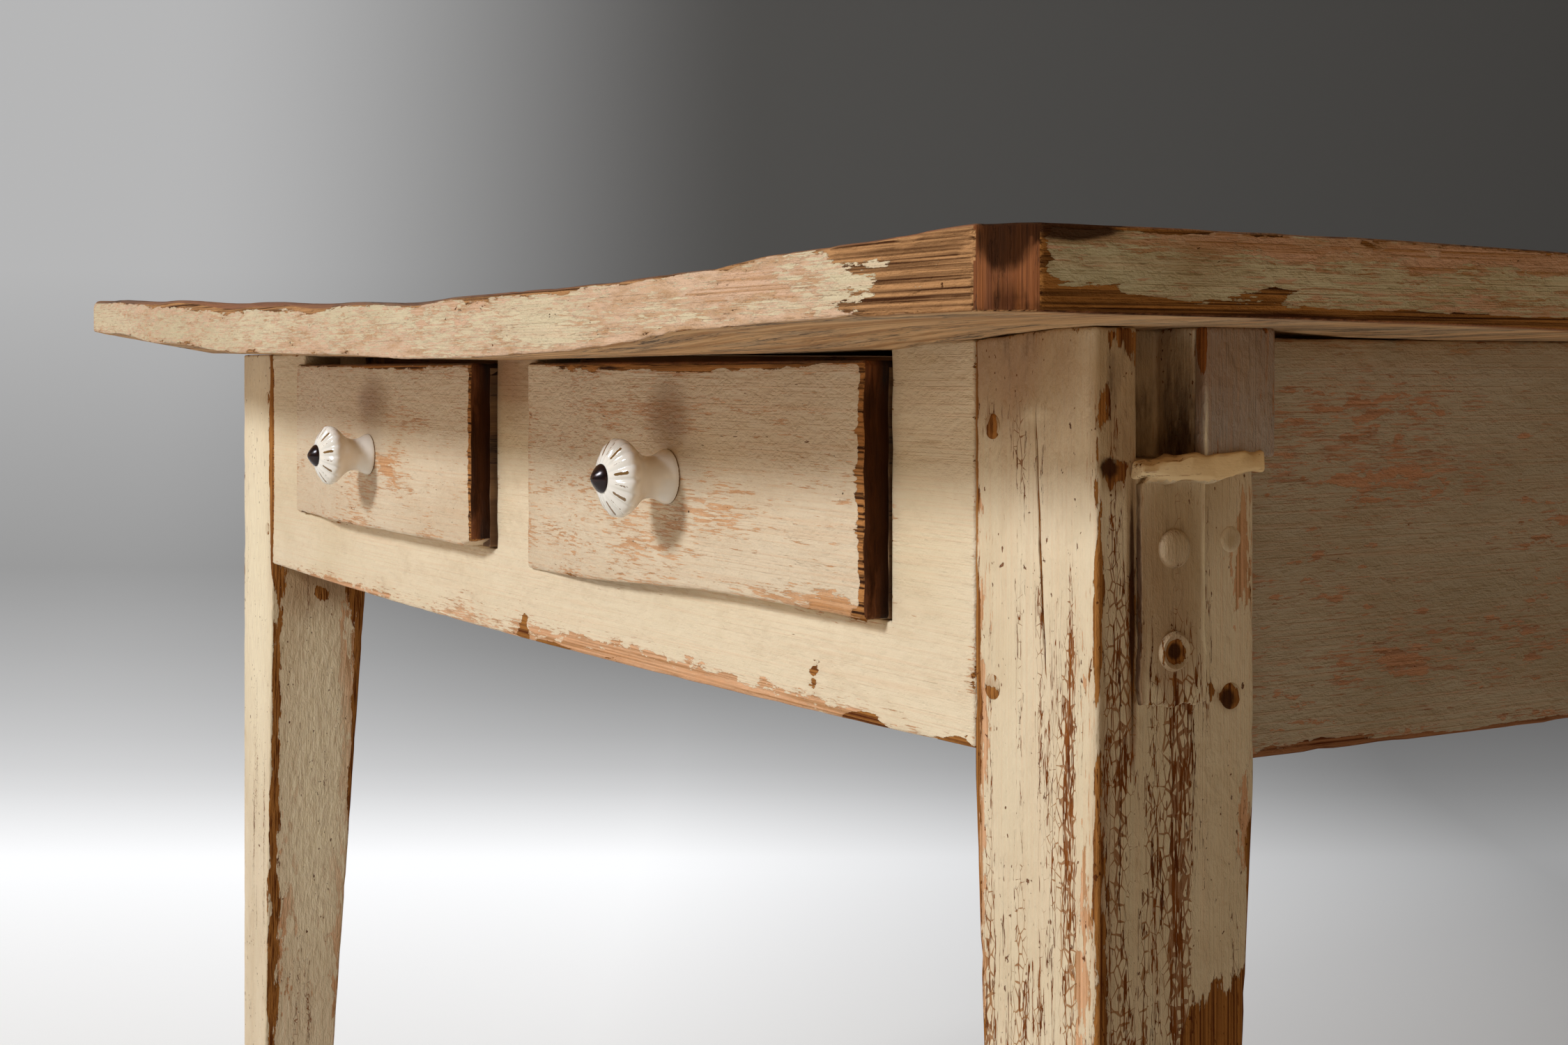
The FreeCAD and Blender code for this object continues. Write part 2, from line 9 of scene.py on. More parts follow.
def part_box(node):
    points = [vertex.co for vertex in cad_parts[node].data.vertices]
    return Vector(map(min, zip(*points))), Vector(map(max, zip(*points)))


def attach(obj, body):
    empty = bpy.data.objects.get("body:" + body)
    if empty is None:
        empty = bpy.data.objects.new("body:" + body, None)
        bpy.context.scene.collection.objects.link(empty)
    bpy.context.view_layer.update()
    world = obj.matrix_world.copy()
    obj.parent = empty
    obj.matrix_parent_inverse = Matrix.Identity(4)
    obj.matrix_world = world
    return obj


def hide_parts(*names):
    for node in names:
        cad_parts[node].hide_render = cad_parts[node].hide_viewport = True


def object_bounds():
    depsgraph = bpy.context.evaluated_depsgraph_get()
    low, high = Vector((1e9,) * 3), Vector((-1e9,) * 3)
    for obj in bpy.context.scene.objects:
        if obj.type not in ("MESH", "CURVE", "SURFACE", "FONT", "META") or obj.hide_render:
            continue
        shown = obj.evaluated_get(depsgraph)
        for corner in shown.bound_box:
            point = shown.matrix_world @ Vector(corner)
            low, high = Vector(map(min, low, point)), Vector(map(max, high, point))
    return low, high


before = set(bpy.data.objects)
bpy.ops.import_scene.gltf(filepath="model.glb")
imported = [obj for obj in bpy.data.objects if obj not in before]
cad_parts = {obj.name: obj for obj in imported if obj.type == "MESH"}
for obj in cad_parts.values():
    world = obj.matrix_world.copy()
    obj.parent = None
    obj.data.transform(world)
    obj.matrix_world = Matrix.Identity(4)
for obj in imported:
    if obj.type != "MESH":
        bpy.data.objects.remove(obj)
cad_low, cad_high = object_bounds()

MM = 0.001

# ---- sizes in metres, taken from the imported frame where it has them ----

LEG_LOW, LEG_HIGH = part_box("leg_front_right")
UNDERSIDE = LEG_HIGH.z
TABLE_TOP = cad_high.z
HALF_LENGTH = LEG_HIGH.x
HALF_DEPTH = -LEG_LOW.y
LEG = LEG_HIGH.x - LEG_LOW.x
INNER_X = HALF_LENGTH - LEG
INNER_Y = HALF_DEPTH - LEG
FOOT = 46 * MM
APRON_FOOT = 571 * MM
TAPER_HEAD = APRON_FOOT - 8 * MM
SILL = 615 * MM
LEFT_OPENING = (-384 * MM, -19 * MM)
RIGHT_OPENING = (39 * MM, 404 * MM)
SLOT_X = HALF_LENGTH - 22 * MM
SLOT_Y = (-HALF_DEPTH + 19 * MM, -HALF_DEPTH + 46 * MM)
SLOT_DEEP = 45 * MM
SLOT_FLOOR = UNDERSIDE - SLOT_DEEP


# ---- mesh tools ----

FINEST = 0.2 * MM       # grid lines closer than this are one
SHARP = 32              # degrees: an edge sharper than this is an arris
SMOOTH = 40             # degrees: faces at less than this are shaded as one surface
SAMPLE = 2 * MM         # spacing of the points that stand for an arris
SLOW_WAVES = ((11, 0.6), (47, 0.4))     # swells per metre and their shares
CHIP_WAVES = ((83, 1.0), (260, 0.35))
CHIP_LEAST = 0.12


def ease(value):
    """0 to 1 with soft ends."""
    value = max(0.0, min(1.0, value))
    return value * value * (3 - 2 * value)


def fade(value, start, length):
    """0 at a start and 1 a length further on, with soft ends; a negative length runs down."""
    return ease((value - start) / length)


def waves(spot, parts):
    """Noise at a spot, summed over (waves per metre, share) pairs."""
    return sum(share * noise.noise(spot * pitch) for pitch, share in parts)


def stations(marks, step, close=(2.5, 7.0)):
    """Grid lines along one axis: every mark in metres, close lines beside it and even steps, in mm."""
    lines = []
    for low, high in zip(marks, marks[1:]):
        beside = [gap * MM for gap in close if gap * MM < (high - low) * 0.4]
        start, stop = low + max(beside, default=0), high - max(beside, default=0)
        count = max(1, round((stop - start) / (step * MM)))
        lines += [low] + [low + gap for gap in beside] + [high - gap for gap in beside] + [high]
        lines += [start + (stop - start) * i / count for i in range(count + 1)]
    kept = []
    for line in sorted(lines):
        if not kept or line - kept[-1] > FINEST:
            kept.append(line)
    return kept


def cells(xs, ys, zs, filled=None, place=None):
    """A closed surface round the filled cells of a grid, its points moved by place."""
    size = (len(xs) - 1, len(ys) - 1, len(zs) - 1)

    def inside(i, j, k):
        if not (0 <= i < size[0] and 0 <= j < size[1] and 0 <= k < size[2]):
            return False
        if filled is None:
            return True
        return filled((xs[i] + xs[i + 1]) / 2, (ys[j] + ys[j + 1]) / 2, (zs[k] + zs[k + 1]) / 2)

    mesh = bmesh.new()
    points = {}

    def point(i, j, k):
        if (i, j, k) not in points:
            spot = Vector((xs[i], ys[j], zs[k]))
            points[i, j, k] = mesh.verts.new(place(spot) if place else spot)
        return points[i, j, k]

    walls = (((1, 0, 0), ((1, 0, 0), (1, 1, 0), (1, 1, 1), (1, 0, 1))),
             ((-1, 0, 0), ((0, 0, 0), (0, 0, 1), (0, 1, 1), (0, 1, 0))),
             ((0, 1, 0), ((0, 1, 0), (0, 1, 1), (1, 1, 1), (1, 1, 0))),
             ((0, -1, 0), ((0, 0, 0), (1, 0, 0), (1, 0, 1), (0, 0, 1))),
             ((0, 0, 1), ((0, 0, 1), (1, 0, 1), (1, 1, 1), (0, 1, 1))),
             ((0, 0, -1), ((0, 0, 0), (0, 1, 0), (1, 1, 0), (1, 0, 0))))
    state = {}
    for i in range(-1, size[0] + 1):
        for j in range(-1, size[1] + 1):
            for k in range(-1, size[2] + 1):
                state[i, j, k] = inside(i, j, k)
    for (i, j, k), full in state.items():
        if full:
            for (di, dj, dk), corners in walls:
                if not state[i + di, j + dj, k + dk]:
                    mesh.faces.new([point(i + a, j + b, k + c) for a, b, c in corners])
    return mesh


def blobs(spot, marks):
    """Strongest of some soft round marks at a spot; each is (x, y, z, rx, ry, rz, strength) in mm."""
    best = 0.0
    for x, y, z, rx, ry, rz, strength in marks:
        far = ((spot.x / MM - x) / rx) ** 2 + ((spot.y / MM - y) / ry) ** 2 + ((spot.z / MM - z) / rz) ** 2
        best = max(best, strength * max(0.0, 1 - far))
    return best


def link(name, data):
    """Make an object of a mesh, a lamp or a camera and put it in the scene."""
    piece = bpy.data.objects.new(name, data)
    bpy.context.scene.collection.objects.link(piece)
    return piece


def make_piece(mesh, name, data_name, material):
    """Turn a finished mesh into an object of the scene."""
    data = bpy.data.meshes.new(data_name)
    mesh.to_mesh(data)
    mesh.free()
    data.materials.append(material)
    return link(name, data)


def store(piece, label, values):
    """Keep one number for each point of a piece, for its materials to read."""
    piece.data.attributes.new(label, "FLOAT", "POINT").data.foreach_set("value", values)


def dress(piece, materials, choose):
    """Give a piece further materials, and each face the number of its own."""
    for material in materials:
        piece.data.materials.append(material)
    for face in piece.data.polygons:
        face.material_index = choose(face)


def finish_piece(mesh, name, material, body="table", arris=1.5, waver=0.25, chips=0.8, replaced=(),
                 marks=None, crackle=None, reach=8.0, shape=None, slot=None):
    """Round the arrises, add the slight unevenness of old timber and make the piece an object.

    Surface values go with the mesh: how near a point is to an arris, and from the marks how far it
    is worn bare, rubbed, patched, cracked and grimy; the grime marks also darken as painted shade,
    and the fresh marks lighten, partly as painted highlight. All lengths are in mm.
    """
    mesh.normal_update()
    edges = [edge for edge in mesh.edges if len(edge.link_faces) == 2
             and edge.calc_face_angle(0) > math.radians(SHARP)]
    samples = []
    for edge in edges:
        a, b = edge.verts[0].co, edge.verts[1].co
        count = max(1, int((b - a).length / SAMPLE))
        samples += [a.lerp(b, i / count) for i in range(count + 1)]
    tree = kdtree.KDTree(max(1, len(samples)))
    for i, sample in enumerate(samples):
        tree.insert(sample, i)
    tree.balance()
    if arris:
        bmesh.ops.bevel(mesh, geom=edges, offset=arris * MM, segments=3, profile=0.5,
                        affect="EDGES", clamp_overlap=True)
    mesh.normal_update()
    values = {label: [] for label in WORN}
    moves = []
    for vert in mesh.verts:
        spot = vert.co
        distance = tree.find(spot)[2] / MM if samples else reach
        edge = max(0.0, 1 - distance / reach)
        for label in WORN:
            values[label].append(blobs(spot, (marks or {}).get(label, ())))
        values["arris"][-1] = edge
        if crackle:
            values["cracked"][-1] = max(values["cracked"][-1], crackle(spot))
        slow = waves(spot, SLOW_WAVES)
        chip = max(0.0, waves(spot, CHIP_WAVES) - CHIP_LEAST)
        moves.append(vert.normal * (slow * waver - chip * chips * edge * edge) * MM)
    for vert, move in zip(mesh.verts, moves):
        vert.co += move
        if shape:
            vert.co = shape(vert.co)
    for face in mesh.faces:
        face.smooth = True
    piece = make_piece(mesh, name, name, material)
    piece.data.set_sharp_from_angle(angle=math.radians(SMOOTH))
    for label in WORN:
        store(piece, label, values[label])
    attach(piece, body)
    if replaced:
        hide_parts(*replaced)
    return piece


def turned(profile, segments, ripple=None):
    """Lathe work about Z: (radius, height) pairs in mm from one end to the other, closed at both."""
    mesh = bmesh.new()
    rings = []
    for radius, height in profile:
        ring = []
        for i in range(segments):
            angle = 2 * math.pi * i / segments
            out, up = ripple(radius, height, angle) if ripple else (radius, height)
            ring.append(mesh.verts.new((out * math.cos(angle) * MM, out * math.sin(angle) * MM, up * MM)))
        rings.append(ring)
    for low, high in zip(rings, rings[1:]):
        for i in range(segments):
            j = (i + 1) % segments
            mesh.faces.new((low[i], low[j], high[j], high[i]))
    mesh.faces.new(rings[0][::-1])
    mesh.faces.new(rings[-1])
    return mesh


# ---- materials ----

def paint(code):
    """Linear colour of an sRGB hex value, with full alpha."""
    parts = [int(code[i:i + 2], 16) / 255 for i in (1, 3, 5)]
    return tuple(c / 12.92 if c <= 0.04045 else ((c + 0.055) / 1.055) ** 2.4 for c in parts) + (1.0,)


def add(tree, kind, sockets, out=0, **settings):
    """Add a shader node, set it up, give its inputs a value or a link each, and return one output."""
    node = tree.nodes.new("ShaderNode" + kind)
    for name, value in settings.items():
        setattr(node, name, value)
    for key, value in sockets.items():
        if isinstance(value, bpy.types.NodeSocket):
            tree.links.new(value, node.inputs[key])
        else:
            node.inputs[key].default_value = value
    return node.outputs[out] if len(node.outputs) else node


def new_material(name):
    material = bpy.data.materials.new(name)
    material.use_nodes = True
    material.node_tree.nodes.clear()
    return material, material.node_tree


MATH = "Math"
MIX = "Mix"             # inputs: 0 the factor, 2 and 3 two numbers, 6 and 7 two colours
RANGE = "MapRange"      # inputs: 0 the value, 1 and 2 its range, 3 and 4 what that becomes

# patterns: length along the grain and width across it in mm, detail, roughness and kind; a vein is
# the distance from the line where the noise crosses its middle, a net the distance to its threads
PATTERNS = {
    "strokes": (150, 1.1, 2, 0.5, "cloud"),
    "hairs": (60, 0.55, 3, 0.6, "cloud"),
    "dashes": (15, 1.1, 4, 0.66, "cloud"),
    "flakes": (26, 5.0, 5, 0.66, "cloud"),
    "blotches": (19, 5.0, 5, 0.66, "cloud"),
    "clusters": (75, 26, 3, 0.6, "cloud"),
    "bands": (320, 13, 3, 0.55, "cloud"),
    "clouds": (190, 95, 3, 0.55, "cloud"),
    "specks": (3.2, 2.2, 2, 0.5, "cloud"),
    "rings": (320, 8, 5, 0.6, "cloud"),
    "wrinkles": (11, 5.5, 4, 0.62, "cloud"),
    "ticks": (9, 1.6, 2, 0.5, "cloud"),
    "seams": (70, 5.5, 4, 0.6, "vein"),
    "crazing": (6.5, 3.0, 0, 0.0, "net"),
}
WORN = ("arris", "bare", "rubbed", "patched", "cracked", "grime_and_shade", "fresh")
SHIFT = (7.3, 3.1)          # moves each pattern on by its number, so that no two fall together
TURN = (0.42, 0.66)         # levels of a pattern between which one tint gives way to the second
DRY_ROUGHNESS = 0.9         # dull, worn surface
GLOSS, DRY_GLOSS = 0.5, 0.08    # specular level of a sound finish and of a dry one


def aged_surface(name, axis, base, masks, layers, rough=0.5, dull=None, relief=1.0, metallic=0.0):
    """A weathered finish built up in layers over one base colour.

    Each mask is (low, high, {pattern: share}): the weighted patterns, faded in between two levels.
    Each layer is (mask, strength, tint, second tint, pattern between the two, height in mm).
    """
    material, tree = new_material(name)
    spot = add(tree, "TexCoord", {}, out=3)
    used = {part for _, _, shares in masks.values() for part in shares}
    used |= {pattern for _, _, _, _, pattern, _ in layers}
    values = {}
    for label in WORN:
        if label in used:
            values[label] = add(tree, "Attribute", {}, out=2, attribute_name=label)
    for number, (label, (along, across, detail, coarse, sort)) in enumerate(PATTERNS.items()):
        if label in used:
            scale = tuple(1 / ((along if letter == axis else across) * MM) for letter in "xyz")
            start = (SHIFT[0] * number, SHIFT[1] * number, len(name))
            spread = add(tree, "Mapping", {0: spot, 1: start, 3: scale})
            if sort == "net":
                values[label] = add(tree, "TexVoronoi", {"Vector": spread, "Scale": 1.0},
                                    feature="DISTANCE_TO_EDGE")
                continue
            value = add(tree, "TexNoise", {"Vector": spread, "Scale": 1.0, "Detail": detail,
                                           "Roughness": coarse})
            if sort == "vein":
                value = add(tree, MATH, {0: value, 1: 0.5}, operation="SUBTRACT")
                value = add(tree, MATH, {0: value}, operation="ABSOLUTE")
            values[label] = value
    for label, (low, high, shares) in masks.items():
        total = 0.0
        for part, share in shares.items():
            total = add(tree, MATH, {0: values[part], 1: share, 2: total}, operation="MULTIPLY_ADD")
        values[label] = add(tree, RANGE, {0: total, 1: low, 2: high}, interpolation_type="SMOOTHSTEP")
    colour, height = paint(base), 0.0
    for mask, strength, first, second, pattern, depth in layers:
        turn = add(tree, RANGE, {0: values[pattern], 1: TURN[0], 2: TURN[1]})
        tint = add(tree, MIX, {0: turn, 6: paint(first), 7: paint(second)}, out=2, data_type="RGBA")
        factor = add(tree, MATH, {0: values[mask], 1: strength}, operation="MULTIPLY")
        colour = add(tree, MIX, {0: factor, 6: colour, 7: tint}, out=2, data_type="RGBA")
        height = add(tree, MATH, {0: values[mask], 1: depth, 2: height}, operation="MULTIPLY_ADD")
    normal = add(tree, "Bump", {"Strength": relief, "Distance": MM, "Height": height})
    finish = {"Base Color": colour, "Roughness": rough, "Metallic": metallic, "Normal": normal}
    if dull:
        levels = (("Roughness", rough, DRY_ROUGHNESS), ("Specular IOR Level", GLOSS, DRY_GLOSS))
        for socket, fresh, dry in levels:
            change = {0: values[dull], 1: dry - fresh, 2: fresh}
            finish[socket] = add(tree, MATH, change, operation="MULTIPLY_ADD")
    shader = add(tree, "BsdfPrincipled", finish)
    add(tree, "OutputMaterial", {"Surface": shader})
    return material


# the stain and soot tints colour real stains and soot, and also paint shade where the grime marks stand for
# it: under the top's front edge and in the slot of the near leg
STAIN_AND_SHADE = "#A8875C"
# lighter cream of fresh paint, also used as painted highlight and painted light
FRESH_CREAM_AND_HIGHLIGHT = "#FFF0CE"
SOOT_AND_SHADE = "#3E2212"


def old_oil_paint(name, axis, coats, rub=0.0, flake=0.0, checks=-0.14, craze=-0.2, nicks=0.0, drag=1.0):
    """Brushed oil paint on pine: a cream coat over a salmon one, both dry, rubbed and chipped.

    The cream has a soft sheen and fine brush lines along the board. Where it is rubbed the salmon
    shows in short dashes; on the arrises both coats are gone down to dark, dry wood. The coats are
    cream, tired cream, salmon, its shade, wood and deep cracks. The next values say how far each
    kind of wear has gone, and the last how strongly the brush was dragged.
    """
    cream, tired, undercoat, shade, wood, deep = coats
    masks = {
        "faded": (0.40, 0.62, {"clouds": 1.0}),
        "dragged": (0.45, 0.68, {"strokes": 1.0}),
        "haired": (0.46, 0.70, {"hairs": 1.0}),
        "wrinkled": (0.30, 0.80, {"wrinkles": 1.0}),
        # stained and blackened follow the grime marks: real dirt, and painted shade where those marks paint
        # it
        "stained_and_shaded": (0.25, 1.15, {"grime_and_shade": 1.0, "clouds": 0.30}),
        "blackened_and_shaded": (1.85, 2.80, {"grime_and_shade": 1.0, "blotches": 1.6}),
        "rubbed_through": (0.870 - rub, 0.895 - rub, {"dashes": 0.85, "clusters": 0.36, "arris": 0.10,
                                                      "rubbed": 0.17, "flakes": 0.17}),
        "flaked": (0.90 - flake, 0.915 - flake, {"blotches": 0.85, "clusters": 0.35, "patched": 0.45,
                                                 "arris": 0.08}),
        "peeled": (0.895, 0.910, {"flakes": 0.72, "clusters": 0.35, "dashes": 0.14, "arris": 0.22,
                                  "bare": 0.55, "cracked": 0.07}),
        "nicked": (0.985 - nicks, 1.01 - nicks, {"specks": 0.75, "flakes": 0.45, "clusters": 0.20}),
        "ticked": (0.835, 0.855, {"ticks": 0.75, "bands": 0.45, "cracked": 0.13, "grime_and_shade": -0.1}),
        "checked": (0.455 - checks, 0.470 - checks, {"seams": -6.0, "bands": 0.55, "dashes": 0.22,
                                                     "cracked": 0.16, "bare": 0.05}),
        "crazed": (0.385 - craze, 0.415 - craze, {"crazing": -1.0, "bands": 0.60, "cracked": 0.13}),
        # lighter cream where the fresh marks are: fresh paint on ridges, partly painted highlight, and
        # painted light on the far leg
        "freshened_and_highlit": (0.2, 0.9, {"fresh": 1.0, "flakes": 0.3}),
        "worn_dull": (0.0, 1.0, {"peeled": 0.9, "blackened_and_shaded": 0.6, "flaked": 0.3, "stained_and_shaded": 0.2,
                                 "checked": 0.9, "crazed": 0.8, "ticked": 0.8, "nicked": 0.8}),
    }
    layers = (
        ("faded", 1.0, tired, tired, "clouds", 0.0),
        ("wrinkled", 0.28, tired, STAIN_AND_SHADE, "clusters", 0.6 * drag),
        ("dragged", 0.20 * drag, undercoat, tired, "clusters", 0.08 * drag),
        ("haired", 0.26 * drag, tired, undercoat, "clusters", 0.05 * drag),
        ("rubbed_through", 0.85, undercoat, shade, "flakes", -0.06),
        ("flaked", 0.9, undercoat, shade, "strokes", -0.12),
        ("stained_and_shaded", 0.75, STAIN_AND_SHADE, wood, "clouds", 0.0),
        ("freshened_and_highlit", 0.9, FRESH_CREAM_AND_HIGHLIGHT, cream, "dashes", 0.15),
        ("crazed", 0.8, shade, wood, "bands", -0.12),
        ("peeled", 1.0, shade, deep, "strokes", -0.30),
        ("nicked", 0.9, wood, deep, "flakes", -0.25),
        ("ticked", 0.85, wood, deep, "flakes", -0.15),
        ("checked", 1.0, wood, deep, "flakes", -0.22),
        ("blackened_and_shaded", 0.93, SOOT_AND_SHADE, SOOT_AND_SHADE, "clouds", 0.0),
    )
    return aged_surface(name, axis, cream, masks, layers, rough=0.48, dull="worn_dull")


# the same old paint on every board, its brush lines along the grain: warm cream where hands kept it
# clean, greyer on the ends; the legs have dried out until they crazed and cracked, the long aprons
# and the edges of the top have a few drying cracks
CREAM = ("#E7D4B5", "#DECAA8", "#DDA579", "#A87038", "#8A4F22", "#5A2A0E")
AGED = ("#B5A58C", "#A69478", "#C48C66", "#9C6A48", "#8A4F22", "#5A2A0E")
DRAWER = ("#DDC9AC", "#D4BD9E", "#D39C6C", "#B87E48", "#7E4A26", "#3A2010")
TOP = ("#DDCAA6", "#CFBC96", "#DDB393", "#BC8A5C", "#8C5A30", "#44240E")
TOP_END = ("#D6C8A2", "#C2AF86", "#DBA784", "#B4793F", "#8C5A30", "#44240E")
GREYED_AND_SHADED = ("#B3A294", "#9C8C80", "#C08A60", "#9A5A28", "#7A4420", "#3A2010")
THICK_COAT_AND_LIGHT = ("#FFEAC2", "#F8D6A0", "#E0B080", "#A87038", "#8C5426", "#542A10")
upright_paint = old_oil_paint("leg_oil_paint_on_pine", "z", CREAM, checks=0.0, craze=0.0, nicks=0.11)
long_paint = old_oil_paint("apron_oil_paint_on_pine", "x", CREAM, checks=-0.08)
deep_paint = old_oil_paint("end_apron_oil_paint_on_pine", "y", AGED, rub=0.08, flake=0.18, nicks=0.05,
                           drag=1.2)
drawer_paint = old_oil_paint("drawer_oil_paint_on_pine", "x", DRAWER, rub=0.07, flake=0.05, nicks=0.07,
                             drag=1.3)
top_paint = old_oil_paint("top_edge_oil_paint_on_pine", "x", TOP, rub=0.10, flake=0.12, checks=-0.05,
                          nicks=0.09, drag=2.2)
top_end_paint = old_oil_paint("top_end_oil_paint_on_pine", "y", TOP_END, rub=0.08, flake=0.12, checks=-0.10,
                              nicks=0.06, drag=1.6)
# the block's grey coats are also darker than the paint elsewhere: painted shade of the top's overhang
block_paint_and_shade = old_oil_paint("block_greyed_oil_paint", "z", GREYED_AND_SHADED, nicks=0.05, drag=1.8)
# the lip's coat is lighter than the rest: thick paint, and painted light on the lip's lumps
lip_paint_and_light = old_oil_paint("bracket_thick_oil_paint", "y", THICK_COAT_AND_LIGHT, nicks=0.09, drag=0.3)


def bare_pine(name, axis, pale, dark, grey, rough=0.75, relief=1.0):
    """Unpainted aged pine: growth rings drawn out along the board, dry and slightly furry."""
    masks = {
        "ringed": (0.38, 0.62, {"rings": 1.0}),
        "greyed": (0.46, 0.62, {"clusters": 0.8, "flakes": 0.2}),
        "haired": (0.35, 0.70, {"hairs": 1.0}),
        "checked": (0.48, 0.50, {"seams": -3.0, "clusters": 0.6, "dashes": 0.4}),
        "warmed": (0.45, 0.85, {"bare": 0.8, "flakes": 0.6}),
        "grimed": (0.75, 1.35, {"grime_and_shade": 0.8, "flakes": 1.1}),
    }
    layers = (
        ("ringed", 1.0, dark, dark, "rings", 0.10),
        ("greyed", 0.8, grey, dark, "flakes", 0.0),
        ("haired", 0.35, dark, grey, "flakes", -0.12),
        ("checked", 0.8, "#3A2414", "#3A2414", "hairs", -0.3),
        ("warmed", 0.8, "#9C5C2E", "#7A4420", "strokes", -0.15),
        ("grimed", 0.9, "#3A1E0C", "#24130A", "flakes", -0.1),
    )
    return aged_surface(name, axis, pale, masks, layers, rough, dull="grimed", relief=relief)


# inside timber keeps its honey colour, the underside is pale, partly weathered wood and partly
# painted light bounced up from the floor, the top is scrubbed and oiled brown, and the drawers' end
# grain is near black, partly dirt it drank in and partly painted shade of the gap beside each drawer
inner_pine_x = bare_pine("inner_pine_lengthwise", "x", "#B98A58", "#8A5C33", "#7A6247")
inner_pine_y = bare_pine("inner_pine_crosswise", "y", "#B98A58", "#8A5C33", "#7A6247")
# pale base partly stands for light bounced up from the floor: painted light
pale_underside_and_bounce_pine = bare_pine("weathered_underside_pine", "x", "#F0C592", "#B98450", "#CBB497", 0.8, 2.0)
top_face = bare_pine("scrubbed_top_pine", "x", "#9C6B42", "#6E4428", "#86664A", 0.6)
corner_pine = bare_pine("top_corner_bare_pine", "z", "#A65E20", "#6A340E", "#4A240C", 0.9)
# near black: dirty end grain, and painted shade of the deep gap at each drawer's right end
dirt_and_shade_pine = bare_pine("drawer_end_grain_pine", "z", "#140C06", "#0C0603", "#20130A", 1.0)
drawer_pine = bare_pine("drawer_box_pine", "y", "#8A6844", "#66462A", "#5A4630", 0.8)
peg_wood = bare_pine("peg_end_pine", "z", "#B08452", "#7E5630", "#C8AE88", 0.7)

# black iron with blooms of rust, and brass japanned nearly black and rubbed brown
rusting = {"bloomed": (0.45, 0.60, {"specks": 0.6, "flakes": 0.4}), "pitted": (0.52, 0.60, {"specks": 1.0})}
nail_iron = aged_surface("rusted_nail_iron", "x", "#4A423C", rusting,
                         (("bloomed", 1.0, "#5E3A22", "#7A4A28", "flakes", 0.0),
                          ("pitted", 0.5, "#2A1C14", "#2A1C14", "flakes", -0.15)), 0.6, metallic=0.7)
button_brass = aged_surface("knob_button_japanned_brass", "x", "#1E1012", rusting,
                            (("bloomed", 0.5, "#3A1C16", "#2C1410", "flakes", 0.0),), 0.22, metallic=0.3)


GILT_WEAR = (900, 900, 900)     # worn spots per metre, each about 1 mm across


def glazed_china(name):
    """White glazed porcelain: hard wet highlights, with worn brown-gold lines between the flutes."""
    material, tree = new_material(name)
    line = add(tree, "Attribute", {}, out=2, attribute_name="gilt")
    spot = add(tree, "TexCoord", {}, out=3)
    spread = add(tree, "Mapping", {0: spot, 3: GILT_WEAR})
    worn = add(tree, "TexNoise", {"Vector": spread, "Scale": 1.0, "Detail": 3})
    ragged = add(tree, MATH, {0: worn, 1: 0.5, 2: line}, operation="MULTIPLY_ADD")
    mask = add(tree, RANGE, {0: ragged, 1: 0.78, 2: 0.95}, interpolation_type="SMOOTHSTEP")
    tint = add(tree, MIX, {0: mask, 6: paint("#F2ECE2"), 7: paint("#7E5E36")}, out=2, data_type="RGBA")
    shader = add(tree, "BsdfPrincipled", {"Base Color": tint, "Roughness": 0.12, "IOR": 1.52,
                                          "Coat Weight": 0.3, "Coat Roughness": 0.04})
    add(tree, "OutputMaterial", {"Surface": shader})
    return material


china = glazed_china("white_glazed_china")

# ---- top ----

TOP_X = cad_high.x
TOP_Y = cad_high.y
CLIP = 15 * MM              # cut off each corner
DRAWN_IN = 10 * MM          # how far the front edge stands back at its left end
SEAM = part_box("top_middle_plank")[1].y
THICK = TABLE_TOP - UNDERSIDE
ARRIS_ROUND, ARRIS_WORN = 2.5, 7.0      # mm: the upper front arris, and what wear adds to it
# grid lines of the two outer planks, in mm from the long edge, and of the middle one in shares
OUTER_ROWS = (0, 2, 4, 6.5, 9.5, 13, 15, 19, 27, 40, 55, 75, 95, 110, 125, 145, 170, 200, 240, 290, 339, 343,
              345)
MIDDLE_ROWS = (0, 0.006, 0.018, *(i / 14 for i in range(1, 14)), 0.982, 0.994, 1)
UNDER, FACE, END, CORNER = 1, 2, 3, 4   # materials of the planks after the paint of the long edges


def reading(table, x):
    """Smooth reading of a small table of (place, value) pairs."""
    for (x0, v0), (x1, v1) in zip(table, table[1:]):
        if x <= x1:
            t = max(0.0, (x - x0) / (x1 - x0))
            return v0 + (v1 - v0) * t * t * (3 - 2 * t)
    return table[-1][1]


# how far the long front edge has moved from flat along x, in mm: upper arris, lower arris, and the
# underside where it lies on the frame
EDGE_UP = [(-632, 19), (-540, 16), (-376, 10), (-159, 2.6), (14, -2.8), (135, -6), (197, -5), (311, -5),
           (348, -4.3), (439, -2.6), (505, 1), (550, 2), (617, 4.5)]
EDGE_LOW = [(-632, 21), (-540, 17.5), (-376, 7.3), (-159, -1.6), (14, -3.6), (135, -6.6), (197, -6.4),
            (311, -4.6), (348, -2.7), (439, 2.9), (505, 4.7), (550, 5.5), (617, 5.6)]
FRAME_LOW = [(-632, 2), (-450, 0), (-300, -3), (-2, -6.2), (318, -4.6), (402, -3.7), (440, -1.3), (461, 0),
             (487, 1.9), (517, 3.3), (540, 3.9), (632, 4.5)]


